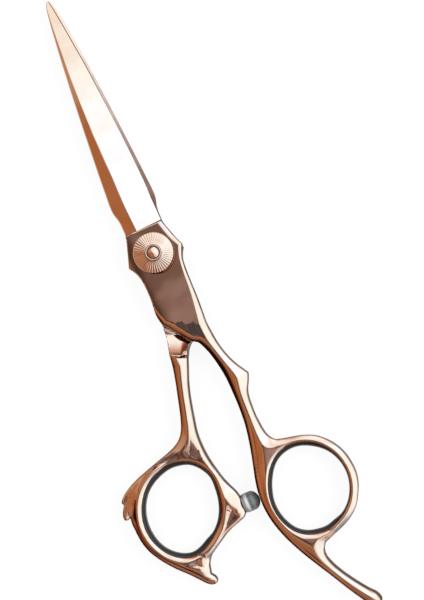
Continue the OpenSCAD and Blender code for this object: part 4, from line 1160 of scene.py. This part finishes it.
def metal(name, dark, light, flank_shade, rough, fine, wavy=0.0, across=9000.0, along=120.0):
    """Metal with hairlines, haze and flanks; the flanks' darker colour is painted shade. `rough` is the least
    roughness and what each of the three adds: haze, hairlines and flanks. `fine` and `wavy` are the strengths
    of the two bumps."""
    least, by_haze, by_lines, by_flank = rough
    material, tree = fresh_material(name)
    lines = use_group(tree, hairlines, (-1100, 100), Across=across, Along=along)
    haze = use_group(tree, handling, (-1100, -150))
    side_mask = use_group(tree, flanks, (-1100, 350))
    waves = use_group(tree, handling, (-1100, -400), Patch=WAVE_PATCH, Detail=0.5, Low=0.0, High=1.0)
    tone = colour_mix(tree, (-800, 200), A=light, B=dark)
    # The steep flanks take the dark flank colour: painted shade
    flank_shaded = colour_mix(tree, (-500, 250), B=flank_shade)
    dulled = node(tree, "ShaderNodeMath", (-800, -50), operation="MULTIPLY_ADD",
                  inputs={1: by_haze, 2: least})
    lined = node(tree, "ShaderNodeMath", (-620, -50), operation="MULTIPLY_ADD", inputs={1: by_lines})
    gloss = node(tree, "ShaderNodeMath", (-440, -50), operation="MULTIPLY_ADD", inputs={1: by_flank})
    wave_bump = node(tree, "ShaderNodeBump", (-500, -400), inputs={"Strength": wavy, "Distance": WAVE_HEIGHT})
    bump = node(tree, "ShaderNodeBump", (-250, -300), inputs={"Strength": fine, "Distance": LINE_HEIGHT})
    shader = node(tree, "ShaderNodeBsdfPrincipled", (0, 0),
                  inputs={"Metallic": 1.0, "Specular Tint": (*GRAZING_SHADE_TINT, 1)})
    out = node(tree, "ShaderNodeOutputMaterial", (300, 0))
    link(tree, (haze.outputs["Haze"], tone.inputs["Factor"]), (tone.outputs["Result"], flank_shaded.inputs["A"]),
         (side_mask.outputs["Flank"], flank_shaded.inputs["Factor"]),
         (flank_shaded.outputs["Result"], shader.inputs["Base Color"]),
         (haze.outputs["Haze"], dulled.inputs[0]), (lines.outputs["Lines"], lined.inputs[0]),
         (dulled.outputs[0], lined.inputs[2]), (side_mask.outputs["Flank"], gloss.inputs[0]),
         (lined.outputs[0], gloss.inputs[2]), (gloss.outputs[0], shader.inputs["Roughness"]),
         (waves.outputs["Haze"], wave_bump.inputs["Height"]), (lines.outputs["Lines"], bump.inputs["Height"]),
         (wave_bump.outputs[0], bump.inputs["Normal"]), (bump.outputs[0], shader.inputs["Normal"]),
         (shader.outputs[0], out.inputs[0]))
    return material


# Each holds the tone in the haze, the clean tone, and the darker flank colour, which is painted shade
ROSE_TONES = (0.80, 0.46, 0.33), (0.86, 0.50, 0.36), (0.08, 0.044, 0.032)
STEEL_TONES = (0.55, 0.55, 0.55), (0.66, 0.66, 0.66), (0.4, 0.4, 0.4)
BRASS_TONES = (0.70, 0.52, 0.22), (0.80, 0.62, 0.30), (0.6, 0.44, 0.2)
rose = metal("rose_gold_coating", *ROSE_TONES, (0.03, 0.04, 0.04, 0.15), 0.08, wavy=0.9)
rose_turned = metal("rose_gold_turned", *ROSE_TONES, (0.07, 0.04, 0.04, 0.1), 0.1,
                    across=5000.0, along=5000.0)
steel = metal("bright_steel", *STEEL_TONES, (0.15, 0.1, 0.1, 0.05), 0.2)
brass = metal("plain_brass", *BRASS_TONES, (0.2, 0.1, 0.1, 0.05), 0.2)
print("metals:", rose.name, rose_turned.name, steel.name, brass.name)

# %% [markdown]
# ## Rubber, nylon and silicone
# The inserts are moulded rubber, the washers nylon and the bumper grey silicone. All three are clouded a
# little and have the fine grain of their mould, so one function makes them. The stud shows through the
# silicone's neck as dark rings. Real transparency would show it too, but a tone along the cap keeps the small
# piece clean and survives the export.

# %% Rubber and nylon
MOULD_HEIGHT, CLOUD_GLOSS = 0.00004, 0.12


def soft_material(name, dark, light, rough, patch, grain_scale):
    """Rubber, nylon or silicone with faint clouding and a fine moulded grain."""
    material, tree = fresh_material(name)
    haze = use_group(tree, handling, (-900, 0), Patch=patch, Low=0.3, High=0.8)
    grain = use_group(tree, hairlines, (-900, -250), Across=grain_scale, Along=grain_scale)
    tone = colour_mix(tree, (-600, 200), A=light, B=dark)
    gloss = node(tree, "ShaderNodeMath", (-600, -50), operation="MULTIPLY_ADD",
                 inputs={1: CLOUD_GLOSS, 2: rough})
    bump = node(tree, "ShaderNodeBump", (-300, -300), inputs={"Strength": 0.2, "Distance": MOULD_HEIGHT})
    shader = node(tree, "ShaderNodeBsdfPrincipled", (0, 0))
    out = node(tree, "ShaderNodeOutputMaterial", (300, 0))
    link(tree, (haze.outputs["Haze"], tone.inputs["Factor"]),
         (tone.outputs["Result"], shader.inputs["Base Color"]), (haze.outputs["Haze"], gloss.inputs[0]),
         (gloss.outputs[0], shader.inputs["Roughness"]), (grain.outputs["Lines"], bump.inputs["Height"]),
         (bump.outputs[0], shader.inputs["Normal"]), (shader.outputs[0], out.inputs[0]))
    return material, shader.inputs


rubber, surface = soft_material("black_rubber", (0.006, 0.006, 0.007), (0.012, 0.012, 0.014), 0.3, 300, 6000)
surface["Specular IOR Level"].default_value = 0.6
surface["Specular Tint"].default_value = (1.0, 0.76, 0.6, 1)
nylon, _ = soft_material("natural_nylon", (0.70, 0.67, 0.60), (0.82, 0.80, 0.73), 0.4, 300, 6000)
print("soft materials:", rubber.name, nylon.name)

# %% Silicone
# Grey along the cap, as shares of its solid's length, with light and shade painted in: the thread shows
# through the neck as dark rings beside a painted highlight, and the solid dome is darker, with a faint
# painted highlight and painted shade towards its end
CAP_PAINTED_LIGHT = [
    (0.0, 0.25), (0.12, 0.28), (0.16, 0.17), (0.20, 0.3), (0.24, 0.2), (0.28, 0.45), (0.36, 0.6),
    (0.42, 0.42), (0.47, 0.13), (0.54, 0.1), (0.66, 0.16), (0.77, 0.1), (0.9, 0.03), (1.0, 0.02),
]
CAP_EDGE_SHADE = (0.05, 0.053, 0.05)
silicone, surface = soft_material("grey_silicone", (0.9, 0.9, 0.9), (1, 1, 1), 0.2, 400, 4000)
tree = silicone.node_tree
where = node(tree, "ShaderNodeTexCoord", (-1200, 500))
split = node(tree, "ShaderNodeSeparateXYZ", (-1000, 500))
along_cap = node(tree, "ShaderNodeMapRange", (-800, 500),
                 inputs={"From Min": bumper_low.x * MM, "From Max": bumper_high.x * MM})
tones = ramp(tree, (-600, 500), [(place, (0.98 * tone, tone, tone)) for place, tone in CAP_PAINTED_LIGHT])
clouded = node(tree, "ShaderNodeMix", (-250, 400), data_type="RGBA", blend_type="MULTIPLY", inputs={0: 1.0})
# Painted shade: the cap's steep edges turn dark grey
edge_shade_mask = use_group(tree, flanks, (-500, 700), Low=0.2, High=0.95)
edge_shaded = colour_mix(tree, (-50, 500), B=CAP_EDGE_SHADE)
clouding = surface["Base Color"].links[0].from_socket
link(tree, (where.outputs["Object"], split.inputs[0]), (split.outputs["X"], along_cap.inputs["Value"]),
     (along_cap.outputs[0], tones.inputs[0]), (tones.outputs[0], clouded.inputs["A"]),
     (clouding, clouded.inputs["B"]), (edge_shade_mask.outputs["Flank"], edge_shaded.inputs["Factor"]),
     (clouded.outputs["Result"], edge_shaded.inputs["A"]), (edge_shaded.outputs["Result"], surface["Base Color"]))
surface["Coat Weight"].default_value = 0.15
surface["Coat Roughness"].default_value = 0.1
surface["Specular IOR Level"].default_value = 0.35
print("silicone with", len(CAP_PAINTED_LIGHT), "tones")

# %% [markdown]
# ## Putting it on the frame
# Each finer piece rides on the body of the solid that it stands for, hides that solid and takes its own
# finish. The small pieces inside the pivot are right as they are and only get materials.

# %% Dress, ride and replace
DRESS = [
    (finger_piece, "finger_side", "finger_half", "coated_steel", rose),
    (thumb_piece, "thumb_side", "thumb_half", "coated_steel", rose),
    (finger_rubber, "finger_side", "finger_insert", "insert_rubber", rubber),
    (thumb_rubber, "thumb_side", "thumb_insert", "insert_rubber", rubber),
    (dial, "dial", "tension_dial", "coated_steel", rose_turned),
    (hub, "dial", "dial_bush", "coated_steel", rose_turned),
    (bolt, "thumb_side", "pivot_bolt", "coated_steel", rose_turned),
    (cap, "thumb_side", "bumper", "bumper_silicone", silicone),
    (stud, "thumb_side", "bumper_stud", "bare_steel", steel),
]
for piece, body, cad_node, slot_name, material in DRESS:
    piece.data.materials.append(material)
    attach(piece, body)
    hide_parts(cad_node)
KEPT = {"pivot_bush": brass, "thrust_washer": nylon, "base_washer": nylon, "click_plate": steel,
        "spring_washer": steel}
for name, material in KEPT.items():
    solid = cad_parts[name]
    solid.data.materials.clear()
    solid.data.materials.append(material)
print("dressed", len(DRESS), "pieces, kept", len(KEPT), "solids")
